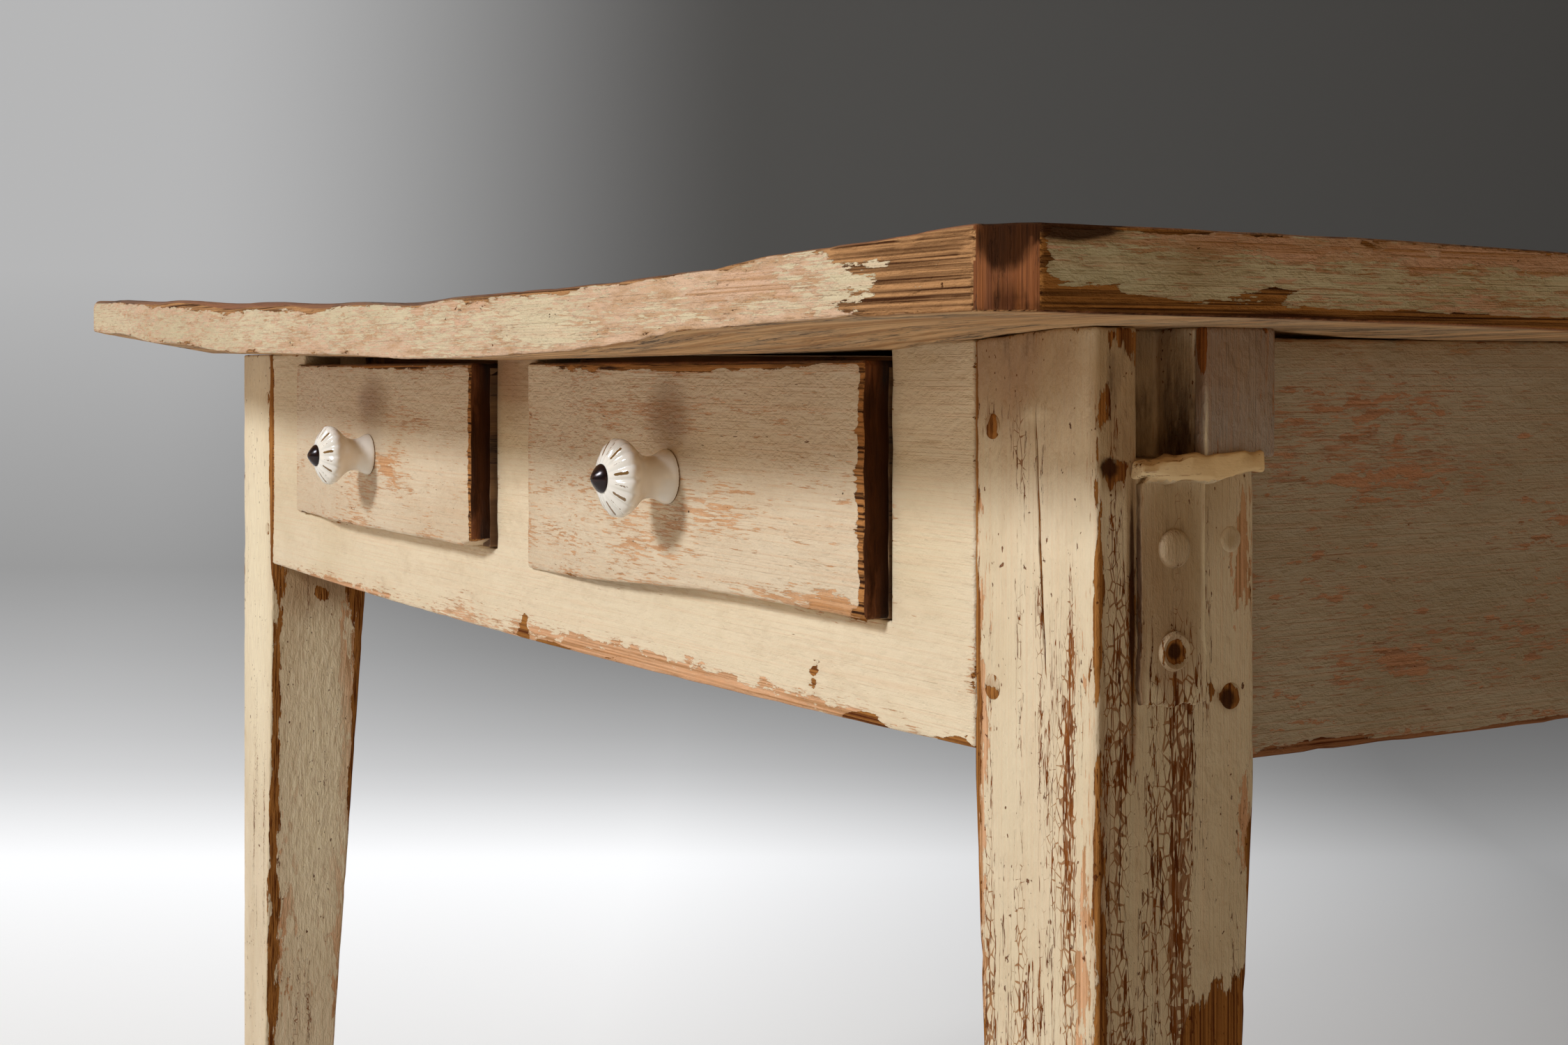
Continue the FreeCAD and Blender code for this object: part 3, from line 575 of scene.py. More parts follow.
def settle(x, y, z):
    """The top after a century of settling: the front droops in the middle and curls at the left end.

    The droop begins behind the front legs, further forward by the right corner and slowly along the
    two ends.
    """
    above = (z - UNDERSIDE) / THICK
    out = max(0.0, min(1.0, (-y - HALF_DEPTH) / (TOP_Y - HALF_DEPTH)))
    forward, along = -y / MM, x / MM
    steep = fade(forward, 290, 115)
    steep += (fade(forward, 250, 80) - steep) * fade(along, 495, 30)
    share = steep + (fade(forward, 130, 300) - steep) * fade(abs(along), 545, 60)
    frame_low = reading(FRAME_LOW, along)
    low = frame_low * share + (reading(EDGE_LOW, along) - frame_low) * out
    high = frame_low * share + (reading(EDGE_UP, along) - frame_low) * out
    return z + (high * above + low * (1 - above)) * MM


def drawn_in(x):
    """How far the front edge stands back from straight."""
    return DRAWN_IN * (x / TOP_X) ** 2 if x < 0 else 0


def clipped(u, v, low_y, high_y):
    """A point of a plank from shares of its length and width; the corners of the top are clipped."""
    y = low_y + (high_y - low_y) * v
    x = u * (TOP_X - max(0.0, abs(y) - (TOP_Y - CLIP)))
    if y < 0:
        y += drawn_in(x) * fade(-y, HALF_DEPTH, TOP_Y - HALF_DEPTH)
    return x, y


def worn_arris(spot):
    """Rounds the upper front arris, deeper towards the left end, and lets the edges settle."""
    x, y, z = spot
    gap, below = TOP_Y + y - drawn_in(x), TABLE_TOP - z
    lump = 0.75 + 0.5 * noise.noise(Vector((x * 14, 0.3, 0.7)))
    radius = (ARRIS_ROUND + ARRIS_WORN * fade(x, 0.30, -0.35)) * MM * lump
    if gap < radius and below < radius:
        a, b = radius - gap, radius - below
        far = math.hypot(a, b)
        if far > radius:
            y += a - a * radius / far
            z = TABLE_TOP - radius + b * radius / far
    return Vector((x, y, settle(x, y, z)))


TOP_MARKS = {
    "bare": [(620, -508, 746, 30, 22, 20, 0.75), (584, -515, 750, 74, 9, 28, 0.78),
        (632, -484, 735, 9, 30, 10, 0.95), (632, -408, 739, 9, 24, 6, 0.7),
        (632, -470, 761, 9, 60, 4, 0.6), (632, -290, 731, 10, 280, 6.5, 1.0),
        (632, -455, 734, 9, 40, 6, 0.9), (-200, -515, 762, 420, 30, 13, 0.62),
        (300, -515, 761, 250, 9, 4, 0.45)],
    "rubbed": [(-300, -515, 752, 420, 30, 14, 0.5), (60, -515, 742, 260, 16, 14, 0.7),
        (440, -515, 748, 150, 16, 16, 1.0), (420, -515, 732, 240, 16, 5, 0.9),
        (632, -380, 755, 16, 160, 8, 0.8), (632, -300, 740, 12, 200, 8, 0.6)],
    "patched": [(150, -515, 752, 120, 16, 12, 0.35), (480, -515, 748, 90, 16, 10, 0.65),
        (-420, -510, 745, 160, 20, 12, 0.15), (632, -410, 755, 9, 50, 5, 0.5),
        (632, -290, 755, 9, 90, 6, 0.6), (632, -330, 745, 9, 60, 5, 0.25)],
    "grime_and_shade": [(622, -506, 756, 12, 12, 15, 1.6), (626, -508, 736, 9, 9, 8, 0.9),
        (632, -488, 758, 9, 22, 4.5, 3.2), (632, -440, 734, 9, 120, 5, 1.0),
        (0, 170, 761, 1200, 1.8, 4, 2.4), (0, -170, 761, 1200, 1.8, 4, 2.4),
        (632, -350, 738, 6, 3, 2.2, 3.5), (632, -382, 756, 4, 4, 2.6, 5.0),
        (632, -301, 755, 4, 6, 2.6, 5.0), (632, -300, 762, 9, 200, 4, 0.8),
        (632, -440, 748, 9, 30, 14, 0.8)],
}


def plank_material(face):
    """The paint stops at the faces; the two ends and the clipped corners have their own wear."""
    sideways, up = abs(face.normal.x), face.normal.z
    if up < -0.8:
        return UNDER
    if up > 0.6:
        return FACE
    if sideways > 0.5:
        return END if sideways > 0.88 else CORNER
    return 0


def make_top():
    """Three planks side by side, warped as one."""
    shares = [u / TOP_X for u in stations([-TOP_X, TOP_X], 6, (2.5,))]
    rows = stations([UNDERSIDE, TABLE_TOP], 4, (2, 4.5, 7.5))
    front = [row / OUTER_ROWS[-1] for row in OUTER_ROWS]
    for name, low_y, high_y, vs in (("top_front_plank", -TOP_Y, -SEAM, front),
                                    ("top_middle_plank", -SEAM, SEAM, MIDDLE_ROWS),
                                    ("top_back_plank", SEAM, TOP_Y, [1 - v for v in reversed(front)])):
        mesh = cells(shares, vs, rows, place=lambda s: Vector((*clipped(s.x, s.y, low_y, high_y), s.z)))
        piece = finish_piece(mesh, name + "_worn", top_paint, arris=1.2, waver=0.3, chips=1.6,
                             replaced=(name,), marks=TOP_MARKS, reach=9, shape=worn_arris, slot="top_paint")
        dress(piece, (pale_underside_and_bounce_pine, top_face, top_end_paint, corner_pine), plank_material)


make_top()

# ---- legs ----

NEAR_LEG = "leg_front_right"
SPLIT_X = 506.4             # mm: a long drying split down the face of the near leg
SPLIT_MIDDLE = 654
SPLIT_SLANT = -0.073
SPLIT_DEEP = 2.4
SPLIT_HALF = 0.8 * MM
HEAD_LIFT = 3.7             # mm: the leg's head follows the lifted top


def leg(name, sx, sy, step, **finish):
    """One square leg, drawn in on its two inner faces from under the aprons to the foot."""
    near = name == NEAR_LEG
    xs = stations([INNER_X, SLOT_X, HALF_LENGTH], 9)
    if near:
        split = SPLIT_X * MM
        xs = [x for x in xs if abs(x - split) > 2 * MM]
        xs = sorted(xs + [split - SPLIT_HALF, split, split + SPLIT_HALF])
    ys = stations([INNER_Y, -SLOT_Y[1], -SLOT_Y[0], HALF_DEPTH], 9, (2.5, 6))
    zs = stations([0, SLOT_FLOOR, UNDERSIDE], step)

    def filled(x, y, z):
        return not (near and x > SLOT_X and -SLOT_Y[1] < y < -SLOT_Y[0] and z > SLOT_FLOOR)

    def place(spot):
        drop = max(0.0, 1 - spot.z / TAPER_HEAD)
        draw = (LEG - FOOT) * drop
        x = HALF_LENGTH - (HALF_LENGTH - spot.x) * (LEG - draw) / LEG
        y = HALF_DEPTH - (HALF_DEPTH - spot.y) * (LEG - draw) / LEG
        return Vector((x * sx, y * sy, spot.z))

    mesh = cells(xs, ys, zs, filled, place)
    if sx * sy < 0:
        bmesh.ops.reverse_faces(mesh, faces=mesh.faces)
    finish_piece(mesh, name + "_worn", upright_paint, replaced=(name,),
                 slot="cream_paint", **finish)


def near_crackle(spot):
    """Crackle grows from the apron down: by the arris and low on the front, and on the end face."""
    x, y, z = spot / MM
    if y < -402:
        by_arris = fade(x, 498, 14) * fade(z, 690, -110)
        return max(by_arris, 1.2 * fade(z, 590, -130), 0.45 * fade(z, 680, -60))
    return fade(z, 700, -90) * (0.84 - 0.55 * fade(y, -364, 18))


def head_and_split(spot):
    """Lifts the leg's head and opens the split, which wanders and leans a little."""
    x, y, z = spot / MM
    if y < -404.2 and 590 < z < 716:
        run = max(0.0, 1 - abs(x - SPLIT_X) / 24)
        middle = 1 if abs(x - SPLIT_X) < 0.35 else 0
        deep = fade(z, 594, 25) * fade(z, 714, -25) * (0.5 + abs(noise.noise(Vector((0, 0, z * 0.11)))))
        x += run * (SPLIT_SLANT * (z - SPLIT_MIDDLE) + 1.6 * noise.noise(Vector((3, 0, z * 0.05))))
        y += middle * SPLIT_DEEP * deep
    z += HEAD_LIFT * fade(z, 690, 42) * fade(x, 462, 60)
    return Vector((x, y, z)) * MM


NEAR_LEG_MARKS = {
    "bare": [(541, -402, 540, 5, 6, 190, 0.16), (540, -396, 683, 4, 8, 9, 0.9),
        (540, -404, 640, 4, 3, 60, 0.3), (540, -343, 455, 9, 30, 46, 1.0), (540, -347, 594, 5, 6, 6, 1.0),
        (464, -405, 520, 4.5, 6, 250, 0.8), (464, -405, 690, 3.5, 4, 90, 0.7),
        (540, -350, 520, 4, 1.8, 66, 0.8), (540, -399, 704, 4, 6, 14, 0.55),
        (540, -393, 727, 4, 10, 6, 0.6), (SPLIT_X, -405, 654, 0.6, 3, 57, 2.5),
        (540, -388.5, 632, 4, 1.4, 62, 0.6), (540, -353.5, 604, 4, 2.4, 13, 0.6),
        (540, -330, 480, 4, 5, 90, 0.6), (540, -400, 480, 4, 6, 80, 0.35)],
    "cracked": [(476, -405, 701, 9, 4, 12, 1.0), (476, -405, 597, 9, 4, 10, 0.9),
        (498, -405, 690, 16, 4, 24, 0.5), (482, -405, 440, 34, 4, 140, 1.3),
        (512, -405, 440, 30, 4, 120, 1.3)],
    "fresh": [(540, -390, 640, 3, 1.0, 50, 0.6), (505, -405, 700, 14, 3, 5, 0.5)],
    "patched": [(540, -338, 645, 5, 9, 48, 0.95), (540, -334, 540, 5, 6, 100, 0.55),
        (531, -405, 520, 8, 5, 130, 0.85), (468, -405, 540, 7, 5, 210, 0.8)],
    "rubbed": [(530, -405, 560, 12, 5, 120, 0.8), (470, -405, 560, 8, 5, 180, 0.6)],
    # the grime on the head of the leg and high on its end face is part stain, part painted shade under the
    # top; in the slot it is painted shade, near black there
    "grime_and_shade": [(490, -405, 745, 70, 12, 64, 1.35), (540, -395, 716, 12, 16, 50, 1.4),
        (524, -372, 700, 26, 24, 62, 1.75), (531, -359, 692, 22, 9, 48, 1.85),
        (540, -352, 690, 5, 34, 60, 0.8), (540, -400, 684, 3, 5, 6, 3.0),
        (540, -402, 540, 8, 5, 190, 0.7), (540, -341, 452, 12, 28, 38, 0.5),
        (540, -347, 594, 5, 6, 6, 1.8), (540, -388.4, 632, 3, 1.3, 66, 2.6)],
}
FAR_LEG_MARKS = {
    "bare": [(-482, -398.5, 380, 44, 6.5, 420, 0.8), (-466, -397, 556, 12, 7, 24, 0.9),
        (-466, -366, 546, 12, 8, 9, 1.3), (-466, -369, 520, 12, 1.6, 18, 1.0),
        (-466, -338, 548, 12, 12, 40, 0.9), (-482, -334, 380, 44, 8, 400, 0.8),
        (-464, -405, 655, 9, 6, 100, 1.3)],
    "patched": [(-482, -344, 480, 44, 14, 170, 0.95), (-482, -388, 320, 44, 16, 180, 0.7),
        (-482, -350, 300, 44, 12, 180, 0.7)],
    "rubbed": [(-482, -366, 350, 44, 40, 260, 0.6)],
    # the fresh marks lighten the far leg; on its inner face they are painted light
    "fresh": [(-482, -366, 400, 44, 40, 200, 0.7), (-504, -405, 560, 60, 6, 260, 0.6)],
    "grime_and_shade": [(-470, -370, 570, 20, 50, 60, 1.1), (-464, -405, 655, 6, 5, 90, 0.8)],
}

leg(NEAR_LEG, 1, -1, 7, crackle=near_crackle, marks=NEAR_LEG_MARKS, arris=1.6, chips=1.2,
    shape=head_and_split)
leg("leg_front_left", -1, -1, 9, crackle=lambda s: 0.1 * near_crackle(s), arris=2.0, chips=1.2,
    marks=FAR_LEG_MARKS)
for side, sx in (("right", 1), ("left", -1)):
    leg("leg_back_" + side, sx, 1, 12, crackle=lambda s: 0.4 * near_crackle(s), arris=1.6)

# ---- aprons ----

SAG = 5 * MM
BOARD = 28 * MM             # thickness of the front apron
PLAIN_BOARD = 26 * MM       # and of the other three
INSET = 5 * MM              # how far those three stand back from the faces of the legs
APRON_FACE = HALF_LENGTH - INSET
BACK_FACE = HALF_DEPTH - INSET
FRONT_APRON_MARKS = {
    "rubbed": [(100, -405, 572, 420, 20, 16, 1.0), (-300, -405, 572, 160, 20, 10, 0.7)],
    "patched": [(-300, -405, 569, 170, 20, 8, 0.75), (190, -405, 570, 300, 24, 13, 0.95)],
    "bare": [(-464, -405, 655, 6, 5, 95, 1.2), (340.6, -405, 582.6, 5, 5, 8, 1.2),
        (-4.9, -405, 585.4, 5, 5, 7, 1.2), (21.6, -405, 570.7, 8, 5, 7, 1.2),
        (384, -405, 568, 17, 24, 8, 1.15), (454, -405, 568, 13, 24, 8, 1.1),
        (60, -405, 565, 30, 24, 5, 0.7)],
    # these grime marks darken and yellow the band just under the top: painted shade of its front edge
    "grime_and_shade": [(430, -405, 736, 60, 9, 46, 0.7), (10, -405, 732, 60, 9, 58, 1.1)],
}
SIDE_APRON_MARKS = {
    "bare": [(535, -285, 571, 8, 30, 7, 0.95), (535, -318, 571, 8, 14, 4, 0.6),
        (535, -200, 571, 8, 200, 3, 0.5)],
    "patched": [(535, -262, 702, 6, 54, 12, 0.3), (535, -266, 676, 6, 54, 11, 0.32),
        (535, -250, 602, 6, 60, 10, 0.28), (535, -296, 590, 6, 30, 20, 0.2),
        (535, -286, 640, 6, 40, 12, 0.12), (535, -120, 640, 6, 120, 40, 0.1)],
    "rubbed": [(535, -262, 690, 6, 90, 34, 0.5), (535, -262, 604, 6, 110, 24, 0.45)],
    "grime_and_shade": [(535, -230, 732, 8, 200, 16, 0.8)],
}


def sagging(spot):
    """The front apron's foot bows down between the legs."""
    share = max(0.0, 1 - (spot.z - APRON_FOOT) / (40 * MM))
    return Vector((spot.x, spot.y, spot.z - SAG * (1 - (spot.x / INNER_X) ** 2) * share))


def front_apron():
    """One board with a notch for each drawer."""
    xs = stations([-INNER_X, *LEFT_OPENING, *RIGHT_OPENING, INNER_X], 11)
    ys = stations([-HALF_DEPTH, -HALF_DEPTH + BOARD], 9, (2.5,))
    zs = stations([APRON_FOOT, SILL, UNDERSIDE], 9)

    def filled(x, y, z):
        in_opening = any(low < x < high for low, high in (LEFT_OPENING, RIGHT_OPENING))
        return not (in_opening and z > SILL)

    mesh = cells(xs, ys, zs, filled, sagging)
    finish_piece(mesh, "front_apron_worn", long_paint, replaced=("front_apron",), arris=1.8,
                 chips=0.9, slot="cream_paint", marks=FRONT_APRON_MARKS)


def plain_apron(name, xs, ys, material, step=14, marks=None):
    """One straight board between two legs."""
    mesh = cells(stations(xs, 14), stations(ys, step), stations([APRON_FOOT, UNDERSIDE], 10))
    finish_piece(mesh, name + "_worn", material, replaced=(name,), arris=1.4, chips=1.4,
                 slot="cream_paint", marks=marks)


front_apron()
plain_apron("back_apron", [-INNER_X, INNER_X], [BACK_FACE - PLAIN_BOARD, BACK_FACE], long_paint)
plain_apron("side_apron_right", [APRON_FACE - PLAIN_BOARD, APRON_FACE], [-INNER_Y, INNER_Y], deep_paint, 8,
            SIDE_APRON_MARKS)
plain_apron("side_apron_left", [-APRON_FACE, -APRON_FACE + PLAIN_BOARD], [-INNER_Y, INNER_Y], deep_paint)

# ---- drawers ----

STANDS = 3.6 * MM           # the twisted fronts stand this much prouder at their right ends
PLANED = 3.0 * MM           # what the left ends still stand proud of the frame
LAPS = {"left": (11 * MM, 0), "right": (7 * MM, 8 * MM)}    # lapping edge at the left and below
CLOSED = 1.9 * MM           # how far the left ends reach over their gap
RAGGED = 2.6 * MM           # how deep the right arris is knocked in
KNOCKED = {"left": 4 * MM, "right": 0.0}                    # broken off the lower right corner
DRAWER_MARKS = {
    "right": {
        "rubbed": [(190, -412, 654, 210, 14, 15, 0.55), (150, -412, 632, 150, 14, 10, 0.75),
            (230, -412, 700, 190, 14, 10, 0.8), (330, -412, 620, 90, 14, 7, 0.6)],
        "bare": [(402, -412, 670, 10, 9, 100, 1.15), (397, -412, 621, 12, 8, 9, 0.5),
            (220, -412, 724, 190, 8, 5, 0.75), (327, -412, 698, 3, 6, 3, 0.8),
            (333, -412, 692, 2.4, 6, 2.6, 0.8), (262, -412, 655, 3.5, 6, 3, 0.8),
            (345, -412, 650, 4, 6, 3, 0.7)],
        "patched": [(380, -412, 620, 30, 8, 8, 0.8), (110, -412, 640, 40, 8, 8, 0.4)],
        "grime_and_shade": [(401, -405, 670, 6, 22, 80, 1.2), (221.5, -412, 698, 32, 8, 24, 0.95)],
    },
    "left": {
        "rubbed": [(-220, -416, 645, 90, 14, 14, 0.6), (-150, -416, 690, 70, 14, 14, 0.6),
            (-166, -416, 658, 44, 14, 24, 0.9)],
        "bare": [(-21, -416, 670, 9, 8, 100, 0.95), (-200, -416, 724, 190, 8, 4, 0.4)],
        "patched": [(-166, -416, 656, 24, 8, 16, 0.8), (-235, -416, 638, 30, 8, 9, 0.5)],
        "grime_and_shade": [(-22, -405, 670, 6, 22, 80, 1.2), (-190, -416, 700, 44, 8, 22, 0.95)],
    },
}


def drawer_material(face):
    """Dirty end grain, near black with painted shade of the gap, shows at the right end of a front,
    bare pine on its back and upper edge.
    """
    if face.normal.x > 0.6:
        return 1
    return 2 if max(face.normal.y, face.normal.z) > 0.6 else 0


def drawer_front(side):
    """Front of one drawer, its outer face twisted and lapping over the frame."""
    low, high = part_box(side + "_drawer_front")
    proud = -HALF_DEPTH - low.y - PLANED
    lap_left, lap_below = LAPS[side]

    def twisted(spot):
        """The face is planed back to the frame at its left end; the right arris is knocked about."""
        front = ease((high.y - spot.y) / (high.y - low.y))
        end = (high.x - spot.x) / (high.x - low.x)
        shut = CLOSED * front * fade(spot.x, low.x + 12 * MM, -12 * MM)
        ragged = max(0.0, 0.4 + noise.noise(Vector((0.2, 5, spot.z * 130)))) * RAGGED * front
        x = spot.x - shut - ragged * fade(spot.x, high.x - 5 * MM, 5 * MM)
        broken = KNOCKED[side] * fade(spot.x, high.x - 18 * MM, 18 * MM)
        z = spot.z + broken * fade(spot.z, low.z + 6 * MM, -6 * MM)
        # planed back towards the left end, prouder from there to the right
        back = proud * fade(end, 0.72, 0.28) - STANDS * fade(end, 0.95, -0.45)
        # only the outermost skin of the board laps over the frame
        lip = fade(front, 0.935, 0.02)
        x -= lap_left * lip * fade(spot.x, low.x + 40 * MM, -40 * MM)
        z -= lap_below * lip * fade(end, 0.3, 0.65) * fade(spot.z, low.z + 25 * MM, -25 * MM)
        return Vector((x, spot.y + front * back, z))

    mesh = cells(stations([low.x, high.x], 10), stations([low.y, high.y], 9, (2.4, 4.0)),
                 stations([low.z, high.z], 8))
    piece = finish_piece(mesh, side + "_drawer_front_worn", drawer_paint, side + "_drawer",
                         replaced=(side + "_drawer_front",), arris=2.2, chips=1.5, slot="drawer_paint",
                         marks=DRAWER_MARKS[side], shape=twisted)
    dress(piece, (dirt_and_shade_pine, drawer_pine), drawer_material)


for side in ("left", "right"):
    drawer_front(side)

# ---- knobs ----

FLUTES = 16
STEPS = 8                   # points round each flute
KNOB = [(0.5, 0), (13.0, 0), (13.5, 0.5), (13.5, 1.6), (13.0, 3.0), (12.2, 4.6), (11.3, 6.4), (10.6, 8.4),
        (10.3, 10.4), (10.4, 12.6), (11.0, 14.8), (12.3, 17.0), (14.3, 19.4), (16.6, 21.8), (18.3, 24.0),
        (19.2, 26.0), (19.3, 27.8), (18.7, 29.2), (17.6, 30.4), (16.0, 31.6), (14.0, 32.9), (11.8, 34.1),
        (9.4, 35.1), (7.2, 35.8), (6.0, 36.0), (0.5, 36.0)]
BUTTON = [(0.3, 30), (6.8, 35), (7.1, 36.2), (6.5, 37.3), (5.0, 38.7), (3.2, 40.1), (1.4, 41.2), (0.3, 41.5)]
LINE_SHARES = {4: 1.0, 3: 0.7, 5: 0.7}      # of the gilt line, by point of the flute
LINE_WEAR = (1.0, 0.62, 0.9, 0.66)          # some lines are more rubbed than others


def fluted(radius, height, angle):
    """Soft petals on the face of the knob, scalloping its rim."""
    share = max(0.0, min(1.0, (radius - 7) / 10)) if height > 24 else 0.0
    valley = 1 - abs(math.sin(angle * FLUTES / 2)) ** 0.7
    return radius - valley * 0.9 * share, height - valley * 1.3 * share * (1 if height > 27 else 0)


def gilding(number):
    """Gilt at one point of the knob: a worn line between the petals, and one round the foot."""
    ring, step = divmod(number, FLUTES * STEPS)
    radius, height = KNOB[ring]
    if height > 29 and 10 < radius < 18:
        return LINE_SHARES.get(step % STEPS, 0.0) * LINE_WEAR[step // STEPS % len(LINE_WEAR)]
    return 1.0 if height < 1 and radius > 13.2 else 0.0


def make_knob(side):
    """China knob and the domed head of the bolt through it, seated on the twisted front."""
    low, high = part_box(side + "_knob")
    centre = Vector(((low.x + high.x) / 2, high.y - STANDS + 0.2 * MM, (low.z + high.z) / 2))
    for name, profile, material, ripple, node, slot in (
            ("knob", KNOB, china, fluted, "_knob", "china"),
            ("button", BUTTON, button_brass, None, "_knob_bolt", "dark_button")):
        mesh = turned(profile, FLUTES * STEPS, ripple)
        for vert in mesh.verts:
            x, y, z = vert.co
            vert.co = Vector((x, -z, y)) + centre
        bmesh.ops.recalc_face_normals(mesh, faces=mesh.faces)
        for face in mesh.faces:
            face.smooth = True
        piece = make_piece(mesh, "%s_%s_turned" % (side, name), "%s_%s_fluted" % (side, name), material)
        store(piece, "gilt", [gilding(i) if name == "knob" else 0.0 for i in range(len(piece.data.vertices))])
        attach(piece, side + "_drawer")
        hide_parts(side + node)


for side in ("left", "right"):
    make_knob(side)

# ---- block and bracket ----

BLOCK_LIFT = 3.9 * MM
LIP = 7 * MM                # height of the bracket's lip below the slot
IRON = 2.4 * MM             # thickness of its strap
STRAP = (-HALF_DEPTH + 18 * MM, -HALF_DEPTH + 50 * MM)
BLOCK_MARKS = {
    "bare": [(545, -360, 728, 5, 3, 16, 0.8)],
    # the fresh mark lightens the block's front edge, partly as painted highlight
    "fresh": [(546.5, -358.6, 698, 2, 1.6, 22, 0.7)],
    # the second grime mark darkens the block's side within the slot: painted shade
    "grime_and_shade": [(546, -342, 726, 8, 44, 30, 0.7), (542, -359, 722, 8, 3, 30, 1.0)],
}
BRACKET_MARKS = {
    "bare": [(542, -371, 606, 4, 3, 6, 0.7), (542, -379, 605, 4, 2, 9, 0.6),
        (542, -361, 606, 4, 2, 9, 0.6)],
    "grime_and_shade": [(541.5, -387, 630, 2.5, 1.8, 90, 2.2), (542, -370, 668, 5, 9, 16, 0.8),
        (542, -371, 650, 5, 24, 70, 1.1)],
    # fresh marks: lighter paint on the strap's ridges, partly painted highlight
    "fresh": [(542, -355.5, 640, 4, 2, 60, 0.8), (542, -380, 600, 4, 9, 3, 0.8),
        (542, -362, 600, 4, 9, 3, 0.8)],
    "patched": [(542, -357, 640, 4, 3, 50, 0.3)],
}
SCREW_MARKS = {
    "grime_and_shade": [(543, -371, 616, 4, 5, 5, 2.6), (544, -371, 646, 4, 9, 4, 1.6),
        (543, -371, 640, 6, 14, 60, 0.95)],
    "bare": [(543, -371, 616, 4, 5, 5, 1.0)],
    "fresh": [(545, -371, 624, 3, 5, 2, 0.8)],
}
PEG_MARKS = {
    "bare": [(476, -405, 697, 4, 3, 6, 0.7), (476, -405, 595, 5, 3, 3, 0.6),
        (540, -342, 596, 3, 6, 7, 1.0)],
    "grime_and_shade": [(476, -405, 699, 7, 3, 7, 1.3), (476, -405, 597, 7, 3, 7, 0.7),
        (540, -343, 596, 3, 6, 7, 2.6), (540, -341, 656, 3, 6, 7, 0.9)],
}


def corner_block():
    """Small block that fills the corner beside the slot and has lifted with the top."""
    low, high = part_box("corner_block")
    mesh = cells(stations([low.x, HALF_LENGTH, high.x], 5, (1.8,)),
                 stations([low.y, -INNER_Y, high.y], 5, (2.0,)),
                 stations([low.z, high.z], 5, (2.5,)),
                 lambda x, y, z: not (x < HALF_LENGTH and y < -INNER_Y))
    finish_piece(mesh, "corner_block_worn", block_paint_and_shade, replaced=("corner_block",), arris=1.4,
                 waver=1.0, slot="cream_paint", marks=BLOCK_MARKS,
                 shape=lambda s: Vector((s.x, s.y, s.z + BLOCK_LIFT * fade(s.z, SLOT_FLOOR, SLOT_DEEP))))


def side_bracket():
    """Iron strap with a lip at its head, both under many coats of paint."""
    low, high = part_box("side_bracket")
    lip_foot = SLOT_FLOOR - LIP
    mesh = cells(stations([low.x, low.x + IRON, high.x], 3, ()),
                 stations([low.y, *STRAP, high.y], 2.4, (1.2,)),
                 stations([low.z, lip_foot, high.z], 4, (2.0,)),
                 lambda x, y, z: z > lip_foot or (x < low.x + IRON and STRAP[0] < y < STRAP[1]))

    def hand_worked(spot):
        """A swelled, lumpy lip, and a strap whose foot and edges wander under thick paint."""
        x, y, z = spot
        lip = fade(z, lip_foot - 2 * MM, 2 * MM)
        lump = noise.noise(Vector((x * 60, y * 75, z * 110)))
        lump += 0.6 * noise.noise(Vector((x * 200, y * 210, z * 260)))
        # the lip's outer arrises are rounded over
        if z > lip_foot - 0.5 * MM:
            round_x = (x - low.x) / (high.x - low.x) * 2 - 1
            round_z = (z - lip_foot) / (high.z - lip_foot) * 2 - 1
            pull = 1 - 0.26 * abs(round_x * round_z) * (round_x > 0)
            x = low.x + (1 + round_x * pull) * (high.x - low.x) / 2
            z = lip_foot + (1 + round_z * pull) * (high.z - lip_foot) / 2
        # it climbs towards the back, thins to the front and swells with lumps of paint
        far = (y - low.y) / (high.y - low.y)
        near_end = fade(far, 0.35, -0.35)
        swell = 1.4 * MM if z > SLOT_FLOOR - 3 * MM else -1.0 * MM + 4.2 * MM * near_end
        z += lip * (2.3 * MM * lump + 3.2 * MM * far - 1.6 * MM + swell)
        y += lip * 4.5 * MM * near_end
        x += lip * (1.4 * MM * lump + 0.8 * MM)
        # the strap grows ragged towards its foot, and its face is uneven
        torn = (1 - lip) * fade(z, low.z + 60 * MM, -60 * MM)
        y += torn * 1.8 * MM * noise.noise(Vector((y * 20, 0.5, z * 120)))
        z += torn * 2.6 * MM * noise.noise(Vector((0.9, y * 160, z * 20)))
        x += (1 - lip) * 0.9 * MM * max(0.0, noise.noise(Vector((0, y * 150, z * 60))))
        return Vector((x, y, z))

    piece = finish_piece(mesh, "side_bracket_painted", upright_paint, replaced=("side_bracket",),
                         arris=1.1, waver=0.3, chips=0.5, slot="painted_iron", shape=hand_worked,
                         crackle=lambda s: 0.75 * fade(s.z, 0.645, -0.05), marks=BRACKET_MARKS)
    dress(piece, (lip_paint_and_light,), lambda face: 1 if face.center.z > lip_foot - 1 * MM else 0)


def plug(into, profile, at, out):
    """Add a turned part to a mesh, its axis pointing out of the timber from a place in mm."""
    part = turned(profile, 40)
    turn = Vector(out).to_track_quat("Z", "Y")
    for vert in part.verts:
        vert.co = turn @ vert.co + Vector(at) * MM
    data = bpy.data.meshes.new("plug")
    part.to_mesh(data)
    part.free()
    into.from_mesh(data)
    bpy.data.meshes.remove(data)


def plugs(name, node, places, marks, **finish):
    """Screws or pegs as one piece; each place is (profile, place in mm, direction)."""
    mesh = bmesh.new()
    for profile, at, out in places:
        plug(mesh, profile, at, out)
    bmesh.ops.recalc_face_normals(mesh, faces=mesh.faces)
    finish_piece(mesh, name, upright_paint, replaced=(node,), arris=0, chips=0, marks=marks, **finish)


corner_block()
side_bracket()

